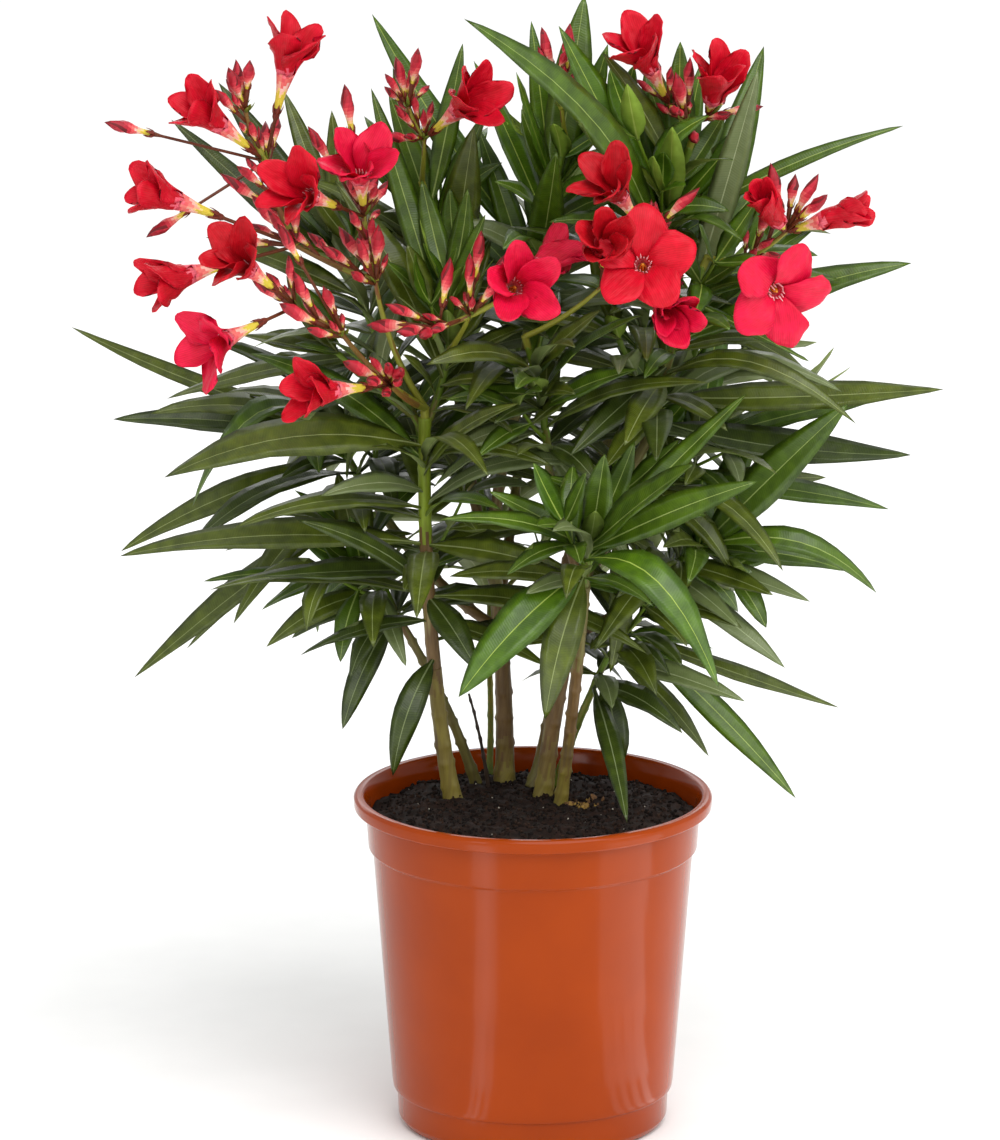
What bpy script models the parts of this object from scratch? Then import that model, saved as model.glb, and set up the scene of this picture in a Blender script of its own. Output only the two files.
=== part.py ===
"""A potted oleander in metres, Z up: pot, compost, bare stems and boughs, leafy masses and flower heads."""

import math
import random

import bmesh
import bpy
from mathutils import Vector
from mathutils.bvhtree import BVHTree

for thing in list(bpy.data.objects):
    bpy.data.objects.remove(thing)

mm = 0.001
gap = 0.3  # clear space between neighbouring pieces; every length below is in millimetres
turnSteps = 32  # steps round the pot and the compost, the same so that their facets line up
up = Vector((0, 0, 1))
sight = Vector((0, 1, -0.257))  # moving a leaf tip along this line keeps the crown's outline from the front

pot = {
    "height": 180.0,
    "rimRadius": 95.0,
    "crestRadius": 90.3,
    "lipDepth": 7.6,
    "collarRadius": 88.6,
    "collarFoot": 151.5,
    "bodyTop": 84.7,
    "bodyFoot": 74.4,
    "footTop": 18.4,
    "footRadius": 71.8,
    "wall": 1.3,
    "floor": 2.0,
    "drains": 6,
    "drainRadius": 4.5,
    "drainCircle": 50.0,
}
compost = {"top": 175.0, "plateau": 63.0, "edge": 168.5}
colours = {
    "pot": (0.44, 0.075, 0.012),
    "compost": (0.018, 0.010, 0.007),
    "bark": (0.16, 0.12, 0.05),
    "green_sucker": (0.1, 0.16, 0.03),
    "side_shoot": (0.1, 0.16, 0.03),
    "dry_twig": (0.05, 0.03, 0.02),
    "leaves": ((0.06, 0.11, 0.015), (0.045, 0.09, 0.012), (0.08, 0.15, 0.02)),
    "petals": (0.72, 0.02, 0.06),
}

# Bare stems rise from the compost and boughs leave them.
# on: the limb it leaves, from: the share of that limb's length where it leaves
limbs = {
    "stem_left": {
        "foot": (-43, 14, 175.3), "tip": (-52, 9, 246), "bow": (-1.0, 0.0, 0.0),
        "radii": (4.5, 3.8), "flare": 1.1,
    },
    "stem_middle": {
        "foot": (-15, 50, 175.3), "tip": (-21, 50, 294), "bow": (2.0, 0.0, 0.0),
        "radii": (5.0, 3.6), "flare": 1.4,
    },
    "stem_right": {
        "foot": (6, 18, 175.3), "tip": (30, 18, 302), "bow": (-3.0, 0.0, 0.0),
        "radii": (4.8, 3.6), "flare": 1.4,
    },
    "stem_right_twin": {
        "foot": (2, 40, 175.3), "tip": (17, 58, 288), "bow": (4.0, 0.0, 0.0),
        "radii": (4.2, 3.4), "flare": 1.1,
    },
    "stem_thin": {
        "foot": (-31, 44, 175.3), "tip": (-70, 34, 264), "bow": (2.0, 0.0, 2.0),
        "radii": (2.8, 2.1), "flare": 0.8,
    },
    "stem_front": {
        "foot": (15, 4, 175.3), "tip": (27, -42, 304), "bow": (1.0, 6.0, 0.0),
        "radii": (3.2, 2.8), "flare": 0.9,
    },
    "side_shoot": {
        "foot": (13, 36, 175.3), "tip": (32, 32, 228), "bow": (-1.0, 0.0, 0.0),
        "radii": (2.4, 2.0), "flare": 0.6,
    },
    "green_sucker": {
        "foot": (-23, 66, 175.3), "tip": (-24, 88, 241), "bow": (1.0, 0.0, 0.0),
        "radii": (1.7, 1.5), "flare": 0.4,
    },
    "dry_twig": {
        "foot": (-24, 36, 175.3), "tip": (-34, 30, 226), "bow": (1.0, 0.0, 0.0),
        "radii": (1.0, 0.6), "flare": 0.2,
    },
    "bough_top_middle": {
        "on": "stem_middle", "from": 1.0, "tip": (-6.0, 47.0, 384.0), "bow": (-4.0, 0.0, 0.0),
        "radii": (3.2, 2.8),
    },
    "bough_top_left": {
        "on": "stem_middle", "from": 0.88, "tip": (-40.0, 62.0, 390.0), "bow": (-3.0, 2.0, 0.0),
        "radii": (3.0, 2.6),
    },
    "bough_left_rear": {
        "on": "stem_middle", "from": 0.68, "tip": (-84.0, 82.0, 318.0), "bow": (-2.0, 0.0, -6.0),
        "radii": (3.0, 2.5),
    },
    "bough_back_middle": {
        "on": "stem_middle", "from": 0.78, "tip": (-6.0, 106.0, 345.0), "bow": (0.0, 4.0, -6.0),
        "radii": (2.9, 2.5),
    },
    "bough_top_right": {
        "on": "stem_right_twin", "from": 1.0, "tip": (54.0, 42.0, 396.0), "bow": (-2.0, 3.0, 0.0),
        "radii": (3.0, 2.6),
    },
    "bough_back_right": {
        "on": "stem_right_twin", "from": 0.8, "tip": (60.0, 100.0, 328.0), "bow": (0.0, 3.0, -5.0),
        "radii": (2.8, 2.4),
    },
    "bough_right": {
        "on": "stem_right", "from": 1.0, "tip": (64.0, 12.0, 376.0), "bow": (-2.0, 0.0, 0.0),
        "radii": (3.1, 2.7),
    },
    "bough_centre": {
        "on": "stem_right", "from": 0.88, "tip": (8.0, 0.0, 356.0), "bow": (0.0, -2.0, 0.0),
        "radii": (2.8, 2.4),
    },
    "bough_right_low": {
        "on": "stem_right", "from": 0.68, "tip": (62.0, 34.0, 288.0), "bow": (2.0, 0.0, -4.0),
        "radii": (2.7, 2.3),
    },
}

# Leafy masses, each one stem with whorls of three leaves up it.
# leaf: longest leaf, top: share of it at the tip, rise: degrees above level at the foot and at the tip,
# first: bearing of the first leaf, forks: side twigs,
# reach: the leaves that make the outline: share up the stem, where it ends, how far it arches, how broad
masses = {
    "leaves_left": {
        "on": "stem_left", "from": 1.0, "tip": (-56.8, 0.0, 384.0), "bow": (-2.0, -1.0, 0.0),
        "radii": (3.7, 3.3), "whorls": 6, "forks": 0, "leaf": 132, "top": 0.8, "rise": (-14, 34), "first": 40,
        "reach": (
            (0.88, (-193, -24, 362), 0.15, 1.5), (0.06, (-74, -14, 193), 0.26, 1.05),
            (0.5, (-218, 4, 309), 0.09, 1.05), (0.4, (-143, -28, 304), 0.04, 1.1),
            (0.5, (25, -34, 306), 0.08, 1.0), (0.84, (10, -22, 363), 0.2, 0.8),
            (0.7, (-111, -36, 353), 0.12, 1.0), (0.3, (-29, -34, 257), 0.1, 1.2),
            (0.3, (-123, -44, 340), 0.1, 0.9), (0.75, (-7, -34, 401), 0.1, 0.8),
        ),
    },
    "left_low": {
        "on": "stem_thin", "from": 1.0, "tip": (-90, 30, 293), "bow": (0.0, 0.0, 2.0),
        "radii": (2.0, 1.6), "whorls": 3, "forks": 1, "leaf": 84, "top": 0.8, "rise": (-20, 30), "first": 75,
        "reach": (
            (0.2, (-101, 20, 209), 0.1, 1.0), (0.5, (-141, 8, 261), 0.16, 1.0),
            (0.4, (-128, 30, 258), 0.14, 0.8),
            (0.8, (-175, 40, 290), 0.04, 0.6), (0.6, (-67, -2, 250), 0.1, 0.8),
        ),
    },
    "left_rear": {
        "on": "bough_left_rear", "from": 1.0, "tip": (-109, 95, 363), "bow": (-2.0, 0.0, 0.0),
        "radii": (2.4, 1.8), "whorls": 5, "forks": 1, "leaf": 118, "top": 0.85,
        "rise": (-20, 34), "first": 10,
        "reach": (
            (0.85, (-245, 70, 417), -0.04, 0.55), (0.75, (-224, 84, 364), 0.05, 0.95),
            (0.5, (-220, 70, 296), 0.06, 0.9), (0.1, (-213, 60, 229), 0.03, 0.9),
            (0.2, (-186, 90, 237), 0.03, 0.6), (0.8, (-181, 56, 326), 0.5, 1.1),
            (0.3, (-159, 36, 262), 0.1, 1.0),
        ),
    },
    "left_upper": {
        "on": "leaves_left", "from": 0.93, "tip": (-99, 52, 456), "bow": (0.0, 3.0, -4.0),
        "radii": (2.3, 1.7), "whorls": 4, "forks": 1, "leaf": 90, "top": 0.75, "rise": (0, 62), "first": 30,
        "reach": (
            (0.9, (-190, 44, 537), 0.0, 0.7), (0.95, (-106, 60, 536), 0.0, 0.9),
            (0.8, (-173, 66, 467), 0.05, 0.9),
            (0.5, (-194, 50, 384), 0.05, 0.9), (0.85, (-166, 76, 549), 0.0, 0.9),
            (0.97, (-132, 86, 542), 0.0, 0.8),
        ),
    },
    "left_crest": {
        "on": "leaves_left", "from": 0.95, "tip": (-44, 8, 448), "bow": (5.0, 4.0, 0.0),
        "radii": (2.1, 1.6), "whorls": 4, "forks": 0, "leaf": 74, "top": 0.8, "rise": (20, 72), "first": 55,
        "reach": (
            (0.35, (-104, 24, 506), 0.12, 1.1), (0.6, (-85, 40, 552), 0.0, 0.8),
            (0.9, (-25, 4, 492), 0.0, 0.8),
            (0.3, (-11, -24, 408), 0.1, 0.9),
        ),
    },
    "top_left": {
        "on": "bough_top_left", "from": 1.0, "tip": (-57, 52, 494), "bow": (4.0, 0.0, 0.0),
        "radii": (2.5, 1.8), "whorls": 6, "forks": 0, "leaf": 112, "top": 0.7, "rise": (4, 68), "first": 0,
        "reach": (
            (0.7, (-74, 80, 555), 0.0, 0.8), (0.9, (-37, 74, 569), 0.0, 0.8),
            (0.7, (-76, 70, 543), 0.0, 0.9),
            (0.4, (-31, 30, 534), 0.03, 1.3), (0.5, (4, 34, 439), 0.1, 1.0),
        ),
    },
    "top_middle": {
        "on": "bough_top_middle", "from": 1.0, "tip": (16, 34, 521), "bow": (-3.0, 0.0, 0.0),
        "radii": (2.7, 1.9), "whorls": 7, "forks": 0, "leaf": 118, "top": 0.75, "rise": (4, 72), "first": 35,
        "reach": (
            (0.55, (-85, 84, 585), -0.06, 0.8), (0.8, (27, 44, 602), 0.03, 1.3),
            (0.8, (-1, 60, 584), 0.0, 0.8),
            (0.7, (44, -10, 519), 0.1, 0.9), (0.35, (12, -20, 531), -0.06, 1.1),
            (0.4, (-29, 64, 526), 0.05, 0.9),
        ),
    },
    "top_right": {
        "on": "bough_top_right", "from": 1.0, "tip": (82, 28, 523), "bow": (-3.0, 0.0, 0.0),
        "radii": (2.5, 1.9), "whorls": 7, "forks": 0, "leaf": 108, "top": 0.78, "rise": (4, 72), "first": 15,
        "reach": (
            (0.5, (-36, -50, 608), 0.12, 1.0), (0.62, (13, 10, 592), 0.02, 1.1),
            (0.72, (61, 6, 580), 0.05, 1.5),
            (0.85, (77, 44, 576), 0.0, 1.1), (0.62, (194, 34, 534), 0.08, 0.5),
            (0.6, (89, 60, 563), 0.0, 0.9),
        ),
    },
    "right": {
        "on": "bough_right", "from": 1.0, "tip": (89, 6, 464), "bow": (-3.0, 0.0, 0.0),
        "radii": (2.6, 1.9), "whorls": 5, "forks": 1, "leaf": 112, "top": 0.85, "rise": (0, 56), "first": 25,
        "reach": (
            (0.93, (122, 34, 579), -0.06, 1.1), (0.8, (117, 6, 569), -0.05, 0.9),
            (0.5, (198, 10, 467), 0.07, 1.05),
            (0.2, (215, 0, 406), -0.06, 1.0), (0.3, (168, -40, 395), 0.26, 0.75),
            (0.06, (199, 10, 365), -0.08, 1.2),
            (0.8, (144, -10, 417), 0.0, 0.5), (0.4, (19, -34, 373), 0.05, 1.1),
            (0.15, (37, -40, 366), 0.05, 1.0),
            (0.3, (47, -50, 385), 0.05, 1.1),
        ),
    },
    "right_mid": {
        "on": "bough_right", "from": 0.3, "tip": (88, 44, 361), "bow": (0.0, 0.0, -3.0),
        "radii": (2.3, 1.8), "whorls": 4, "forks": 1, "leaf": 112, "top": 0.9, "rise": (-16, 40), "first": 5,
        "reach": (
            (0.6, (189, 40, 329), 0.03, 0.9), (0.9, (108, 24, 389), 0.0, 1.0),
            (0.5, (156, 60, 340), 0.0, 0.9),
            (0.2, (98, 30, 332), 0.1, 0.9),
        ),
    },
    "right_low": {
        "on": "bough_right_low", "from": 1.0, "tip": (88, 26, 307), "bow": (0.0, 0.0, 0.0),
        "radii": (2.2, 1.7), "whorls": 4, "forks": 0, "leaf": 104, "top": 0.9, "rise": (-22, 30), "first": 50,
        "reach": (
            (0.9, (165, -6, 395), 0.05, 1.3), (0.95, (182, 14, 285), 0.34, 0.9),
            (0.85, (166, 30, 295), 0.1, 1.1),
            (0.6, (146, 0, 287), 0.03, 0.9), (0.5, (126, -20, 292), 0.05, 0.9),
            (0.2, (133, 0, 250), 0.03, 0.9),
            (0.3, (108, -20, 278), 0.05, 0.9),
        ),
    },
    "front_low": {
        "on": "stem_front", "from": 1.0, "tip": (29, -44, 326), "bow": (-1.0, 0.0, 0.0),
        "radii": (2.7, 1.9), "whorls": 3, "forks": 0, "leaf": 84, "top": 0.7, "rise": (-10, 66), "first": 62,
        "reach": (
            (0.6, (96, -92, 264), 0.44, 1.35), (0.45, (-39, -86, 258), 0.12, 1.6),
            (0.35, (6, -70, 239), 0.26, 1.3), (0.1, (23, -58, 205), 0.2, 1.1),
            (0.85, (-49, -84, 352), 0.12, 0.8), (0.9, (-23, -62, 359), 0.04, 1.0),
            (0.93, (37, -52, 377), 0.0, 1.2),
            (0.75, (111, -40, 407), 0.0, 0.8), (0.8, (116, -62, 365), 0.04, 1.1),
            (0.85, (82, -84, 380), 0.02, 1.5),
        ),
    },
    "centre": {
        "on": "bough_centre", "from": 1.0, "tip": (-3, -10, 425), "bow": (2.0, 0.0, 0.0),
        "radii": (2.3, 1.8), "whorls": 5, "forks": 0, "leaf": 98, "top": 0.85, "rise": (-4, 56), "first": 12,
        "reach": (
            (0.5, (54, -44, 420), 0.05, 1.0), (0.6, (-46, -40, 404), 0.08, 1.0),
            (0.8, (35, -34, 450), 0.05, 1.0),
            (0.2, (51, -14, 310), 0.08, 1.0),
        ),
    },
    "right_foot": {
        "on": "side_shoot", "from": 1.0, "tip": (57, 30, 268), "bow": (-2.0, 0.0, 2.0),
        "radii": (1.9, 1.5), "whorls": 4, "forks": 0, "leaf": 84, "top": 0.9, "rise": (-24, 20), "first": 30,
        "reach": (
            (0.06, (79, -6, 217), 0.14, 1.15), (0.06, (49, -52, 178), 0.06, 0.7),
            (0.25, (41, -8, 188), 0.3, 1.1),
            (0.8, (140, 20, 172), 0.04, 0.85), (0.75, (163, 30, 218), 0.0, 0.7),
            (0.4, (112, -4, 231), 0.05, 0.9),
            (0.5, (94, 40, 190), 0.06, 0.8), (0.5, (65, -22, 239), 0.2, 1.2),
        ),
    },
    "back_left": {
        "on": "green_sucker", "from": 1.0, "tip": (-58.0, 136.0, 418.0), "bow": (12.0, 10.0, -6.0),
        "radii": (1.5, 1.4), "whorls": 5, "forks": 1, "leaf": 112, "top": 0.8, "rise": (-6, 60), "first": 20,
        "light": -0.3, "reach": (),
    },
    "back_middle": {
        "on": "bough_back_middle", "from": 1.0, "tip": (8.0, 132.0, 486.0), "bow": (4.0, 6.0, 0.0),
        "radii": (2.4, 1.8), "whorls": 5, "forks": 1, "leaf": 112, "top": 0.8, "rise": (-6, 68), "first": 0,
        "light": -0.3, "reach": (),
    },
    "back_right": {
        "on": "bough_back_right", "from": 1.0, "tip": (96.0, 128.0, 430.0), "bow": (4.0, 4.0, -4.0),
        "radii": (2.3, 1.8), "whorls": 5, "forks": 1, "leaf": 112, "top": 0.8, "rise": (-8, 62), "first": 40,
        "light": -0.3, "reach": (),
    },
}

# Flower heads. hubs: where the stalk branches, each with the hub it leaves (-1 is the foot);
# flowers: hub, middle of the petals, how far open; buds: hub, tip
heads = {
    "flowers_left": {
        "on": "leaves_left", "from": 1.0, "radii": (2.4, 1.3),
        "hubs": (
            (-1, (-82, -22, 462)), (0, (-88, -16, 495)), (0, (-123, -22, 481)), (2, (-139, -14, 524)),
            (3, (-149, -16, 550)), (-1, (-99, -44, 439)), (5, (-123, -50, 455)), (-1, (-74, -50, 413)),
        ),
        "flowers": (
            (3, (-126, -22, 583), 0.35), (3, (-169, -32, 553), 0.3), (2, (-193, -44, 513), 0.35),
            (2, (-187, -52, 470), 0.3), (6, (-151, -82, 486), 0.5), (6, (-164, -84, 443), 0.6),
            (7, (-111, -84, 418), 0.35), (1, (-120, -58, 517), 0.5), (1, (-90, -40, 526), 0.6),
        ),
        "buds": (
            (3, (-222, -30, 548)), (4, (-158, -20, 575)), (3, (-201, -30, 487)), (1, (-98, -14, 565)),
            (1, (-117, -20, 544)), (4, (-155, -6, 574)), (5, (-132, -64, 502)), (7, (-68, -70, 427)),
        ),
    },
    "flowers_middle": {
        "on": "left_crest", "from": 0.55, "radii": (2.0, 1.2),
        "hubs": ((-1, (-33, -36, 447)), (0, (-15, -38, 458)), (0, (-49, -40, 442))),
        "flowers": ((1, (-8, -72, 471), 0.55), (1, (9, -24, 475), 0.35)),
        "buds": ((0, (-27, -30, 491)), (2, (-43, -40, 479)), (2, (-59, -60, 441)), (0, (-33, -44, 482))),
    },
    "flowers_top_left": {
        "on": "top_left", "from": 1.0, "radii": (1.9, 1.1),
        "hubs": ((-1, (-57, 38, 525)), (0, (-65, 34, 542))),
        "flowers": ((0, (-34, 14, 550), 0.45),),
        "buds": ((1, (-72, 34, 570)), (1, (-62, 30, 567)), (0, (-79, 20, 530))),
    },
    "flowers_top_middle": {
        "on": "top_middle", "from": 1.0, "radii": (1.8, 1.1),
        "hubs": ((-1, (15, 28, 543)), (0, (12, 26, 556))),
        "flowers": (),
        "buds": ((0, (19, 22, 590)), (1, (6, 18, 571)), (1, (11, 4, 556))),
    },
    "flowers_top_right": {
        "on": "top_right", "from": 1.0, "radii": (1.9, 1.1),
        "hubs": ((-1, (81, 26, 535)), (0, (71, 30, 545)), (0, (91, 30, 539))),
        "flowers": ((1, (57, 16, 575), 0.4), (2, (96, 20, 559), 0.3)),
        "buds": ((0, (85, 4, 530)), (1, (75, 0, 546)), (2, (108, 24, 569))),
    },
    "flowers_centre": {
        "on": "centre", "from": 1.0, "radii": (2.0, 1.2),
        "hubs": ((-1, (35, -26, 460)), (0, (59, -26, 487)), (0, (56, -30, 461))),
        "flowers": ((1, (41, -52, 519), 0.55), (2, (56, -76, 484), 0.85), (0, (37, -80, 495), 0.35),
                    (2, (70, -64, 456), 0.3)),
        "buds": ((1, (63, -40, 507)),),
    },
    "flowers_right": {
        "on": "right", "from": 1.0, "radii": (2.0, 1.2),
        "hubs": ((-1, (110, -10, 471)), (0, (131, -16, 487))),
        "flowers": ((0, (126, -58, 464), 1.0), (1, (122, -30, 503), 0.0), (1, (161, -24, 498), 0.0)),
        "buds": ((1, (123, -12, 523)), (1, (152, -40, 512))),
    },
}

# Seeded leaves end inside this egg
crown = {"middle": (-12.0, 34.0, 398.0), "reach": (204.0, 176.0, 184.0)}

# width: across the middle, and widen: how much of the length is added to it; thick: share of the length;
# sunk: share of the twig's radius by which the root passes the axis; turn, tilt, twist: seeded degrees
leaf = {
    "width": 10.5, "widen": 0.06, "petiole": 1.3, "thick": 0.0125, "thinnest": 0.9, "sunk": 0.6,
    "arch": 0.12, "turn": 14, "tilt": 8, "twist": 24, "sizes": (0.86, 1.08), "arches": (0.6, 1.5),
}
lean = {"twig": 0.35, "sky": 0.45, "light": 0.4, "outline": 0.7}  # what a leaf's upper side turns to
room = {"leaf": 1.4 * gap, "sister": gap, "cutter": 1.2 * gap}  # how much a shape swells before it is tried

# A flower: its stalk, its funnel, and petals that turn outward by so many degrees from closed to open
bloom = {
    "petal": 27.0, "broad": 0.86, "blunt": 0.75, "thick": 0.8, "lap": 0.3, "throat": 4.6,
    "closed": 10, "opens": 68, "clear": 90.0, "view": 15.0,
}
funnel = {0.0: (0.0, 1.1), 0.3: (-20.0, 1.9), 0.6: (-9.0, 2.7), 0.93: (-1.6, 4.2), 1.0: (0.0, 4.6)}
petalStations = (0.58, 1.0)
bud = {"radius": 3.1, "stalk": 0.9}
fork = {"first": 0.12, "next": 0.26, "length": 0.5, "shortest": 42, "out": 0.62, "along": 0.78, "tries": 8}

leafRings = (0.07, 0.4, 0.72)  # of the leaves that make the outline
shortRings = (0.07, 0.46)  # of the rest
outerRings = (0.2, 0.46, 0.75)  # of the stretch that keeps clear of sister leaves
bloomRings = (0.3, 0.6, 0.93)
# Turned, raised and shortened in turn until a seeded leaf has room
dodges = (
    (0, 0, 1.0), (16, 6, 1.0), (-16, -6, 1.0), (28, -14, 0.9), (-28, 14, 0.9), (8, 24, 0.8), (-8, -24, 0.75),
)
depths = (0, 8, -8, 17, -17, 27, -27, 38, -38, 51, -51, 66)  # tried in turn along the line of sight
flatEdge = 4  # degrees; edges flatter than this are taken out of a leafy mass


def blank(sides, rings, pointed, rooted=False):
    """A unit cone or rod along Z, cut into rings: ((corner, height), ...) and its triangles.

    A rooted one also comes to a point at its foot.
    """
    made = bmesh.new()
    bmesh.ops.create_cone(
        made, cap_ends=True, segments=sides, radius1=1, radius2=0 if pointed else 1, depth=1
    )
    bmesh.ops.translate(made, verts=made.verts, vec=(0, 0, 0.5))
    for height in rings:
        everything = made.verts[:] + made.edges[:] + made.faces[:]
        bmesh.ops.bisect_plane(made, geom=everything, plane_co=(0, 0, height), plane_no=up, dist=1e-6)
    if rooted:
        foot = [vert for vert in made.verts if vert.co.z < 0.001]
        bmesh.ops.pointmerge(made, verts=foot, merge_co=(0, 0, 0))
    bmesh.ops.remove_doubles(made, verts=made.verts, dist=1e-5)
    bmesh.ops.triangulate(made, faces=made.faces)
    bmesh.ops.recalc_face_normals(made, faces=made.faces)
    made.verts.index_update()
    corners = [(math.atan2(vert.co.y, vert.co.x), min(1.0, max(0.0, vert.co.z))) for vert in made.verts]
    faces = [tuple(vert.index for vert in face.verts) for face in made.faces]
    made.free()
    return corners, faces


def bloomShape():
    """A five-sided tube whose topmost side faces are drawn out twice as petals: labels and triangles."""
    made = bmesh.new()
    bmesh.ops.create_cone(made, cap_ends=True, segments=5, radius1=1, radius2=1, depth=1)
    bmesh.ops.translate(made, verts=made.verts, vec=(0, 0, 0.5))
    for height in bloomRings:
        everything = made.verts[:] + made.edges[:] + made.faces[:]
        bmesh.ops.bisect_plane(made, geom=everything, plane_co=(0, 0, height), plane_no=up, dist=1e-6)
    labels = {}
    for vert in made.verts:
        labels[vert] = ("tube", math.atan2(vert.co.y, vert.co.x), vert.co.z)
    top = bloomRings[-1]
    roots = [face for face in made.faces if face.calc_center_median().z > top and abs(face.normal.z) < 0.5]
    for root in roots:
        centre = root.calc_center_median()
        around = math.atan2(centre.y, centre.x)
        face = root
        for station in (1, 2):
            before = list(face.verts)
            drawn = bmesh.ops.extrude_discrete_faces(made, faces=[face])["faces"][0]
            for old, new in zip(before, drawn.verts):
                if station == 1:
                    margin = 1 if math.sin(labels[old][1] - around) > 0 else -1
                    level = 1 if labels[old][2] > 0.999 else 0
                else:
                    margin, level = labels[old][3:]
                labels[new] = ("petal", around, station, margin, level)
            face = drawn
    bmesh.ops.triangulate(made, faces=made.faces)
    made.verts.index_update()
    named = [labels[vert] for vert in made.verts]
    faces = [tuple(vert.index for vert in face.verts) for face in made.faces]
    made.free()
    return named, faces


leafBlank = blank(3, leafRings, True, True)
shortBlank = blank(3, shortRings, True, True)
outerBlank = blank(3, outerRings, True, True)
limbBlank = blank(6, (0.06, 0.3, 0.65), False)
stemBlank = blank(5, (0.12, 0.4, 0.7), False)
twigBlank = blank(4, (0.5,), False)
stalkBlank = blank(4, (), False)
bloomBlank = bloomShape()
budBlank = blank(4, (0.5, 0.76), True)
firstEdge = next(angle for angle, height in leafBlank[0] if 0.001 < height < 0.999)


def sideOf(angle):
    """Which of a leaf's three long edges: 0 and 1 the margins, 2 the keel."""
    return round((angle - firstEdge) / (2 * math.pi / 3)) % 3


def lineOf(foot, tip, bow=(0, 0, 0)):
    return {"foot": Vector(foot), "run": Vector(tip) - Vector(foot), "bow": Vector(bow)}


def pointOn(line, share):
    return line["foot"] + line["run"] * share + line["bow"] * (4 * share * (1 - share))


def headingOn(line, share):
    return (line["run"] + line["bow"] * (4 - 8 * share)).normalized()


def acrossTo(heading, hint):
    across = hint.cross(heading)
    if across.length < 0.1:
        across = Vector((1, 0.2, 0)).cross(heading)
    return across.normalized()


def rod(line, radiusAt, shape, swell=0.0, level=None):
    """A round rod along a line, its foot cut level if asked; swell makes it bigger all round."""
    length = line["run"].length
    points = []
    for angle, height in shape[0]:
        share = height + (height - 0.5) * 2 * swell / length
        heading = headingOn(line, min(1, max(0, share)))
        across = acrossTo(heading, up if abs(heading.z) < 0.8 else Vector((0, 1, 0)))
        radius = radiusAt(height) + swell
        lean = heading.cross(across)
        point = pointOn(line, share) + (across * math.cos(angle) + lean * math.sin(angle)) * radius
        if level is not None and height < 0.001:
            point.z = level
        points.append(point)
    return points, shape[1]


def taper(radii, length=1.0, flare=0.0):
    def radiusAt(share):
        return radii[0] + (radii[1] - radii[0]) * share + flare * math.exp(-share * length / 6)

    return radiusAt


def blade(spec, halfWidth, shape, swell=0.0):
    """A thin blade along a line: flat above, keeled below, turned by spec's roll."""
    points = []
    for angle, height in shape[0]:
        heading = headingOn(spec["line"], height)
        across = spec["across"] - heading * heading.dot(spec["across"])
        across.normalize()
        face = heading.cross(across)
        roll = math.radians(spec["roll"] + spec["twist"] * height)
        across, face = (
            across * math.cos(roll) + face * math.sin(roll),
            face * math.cos(roll) - across * math.sin(roll),
        )
        half = halfWidth(height)
        corner = sideOf(angle)
        if half == 0:
            offset = Vector()
        elif corner == 2:
            offset = face * -(spec["thick"] + 2 * swell)
        else:
            offset = across * ((half + 2 * swell) * (1 if corner == 0 else -1)) + face * swell
        points.append(pointOn(spec["line"], height) + offset)
    return points, shape[1]


def leafWidth(spec):
    def halfWidth(share):
        if share > 0.999 or share < 0.001:
            return 0.0
        if share < leafRings[0] + 0.001:
            return leaf["petiole"]
        along = (share - leafRings[0]) / (1 - leafRings[0])
        return max(leaf["petiole"], spec["width"] / 2 * math.sin(math.pi * along**0.82) ** 0.8)

    return halfWidth


def leafMesh(spec, swell=0.0):
    return blade(spec, leafWidth(spec), leafBlank if spec["long"] else shortBlank, swell)


def leafFrom(root, axis, tip, broad, roll, twist, arch, facing, radius):
    """A leaf from its twig to its tip, its upper side turned to the sky, the twig and the light."""
    chord = tip - root
    length = chord.length
    aside = chord - axis * chord.dot(axis)
    if aside.length > 0.001:
        root = root - aside.normalized() * leaf["sunk"] * radius
        chord = tip - root
    rise = axis * lean["twig"] + up * lean["sky"] + Vector((0, -facing, 0))
    across = rise.cross(chord)
    if across.length < 0.12 * length:
        across = axis.cross(Vector((chord.x, chord.y, 0.01)))
    across.normalize()
    lift = chord.cross(across).normalized()
    return {
        "line": lineOf(root, tip, lift * arch * length),
        "across": across,
        "roll": roll,
        "twist": twist,
        "width": (leaf["width"] + leaf["widen"] * length) * broad,
        "thick": max(leaf["thinnest"], leaf["thick"] * length),
        "long": False,
    }


# Everything placed so far: its owner, its kind (whole, twig or a blade past its root), its box, its surface
placed = []


def place(owner, kind, mesh):
    points, faces = mesh
    low = [min(point[k] for point in points) for k in range(3)]
    high = [max(point[k] for point in points) for k in range(3)]
    placed.append((owner, kind, low, high, BVHTree.FromPolygons(points, faces)))


def meets(mesh, wanted):
    points, faces = mesh
    low = [min(point[k] for point in points) for k in range(3)]
    high = [max(point[k] for point in points) for k in range(3)]
    tree = None
    for owner, kind, otherLow, otherHigh, other in placed:
        if not wanted(owner, kind):
            continue
        if any(low[k] > otherHigh[k] or high[k] < otherLow[k] for k in range(3)):
            continue
        if tree is None:
            tree = BVHTree.FromPolygons(points, faces)
        if tree.overlap(other):
            return True
    return False


def outerBlade(spec, swell=0.0):
    """The leaf past its root, where it must not touch another leaf of its own twig."""
    points, faces = blade(spec, leafWidth(spec), outerBlank, swell)
    heights = [height for angle, height in outerBlank[0]]
    return points, [face for face in faces if min(heights[k] for k in face) > outerRings[0] - 0.01]


def leafFits(owner, spec):
    if meets(leafMesh(spec, room["leaf"]), lambda who, kind: who != owner and kind == "whole"):
        return False
    outer = outerBlade(spec, room["sister"])
    return not meets(outer, lambda who, kind: who == owner and kind in ("blade", "twig"))


def addLeaf(owner, spec, leaves):
    place(owner, "whole", leafMesh(spec))
    place(owner, "blade", outerBlade(spec))
    leaves.setdefault(owner, []).append(spec)


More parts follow.
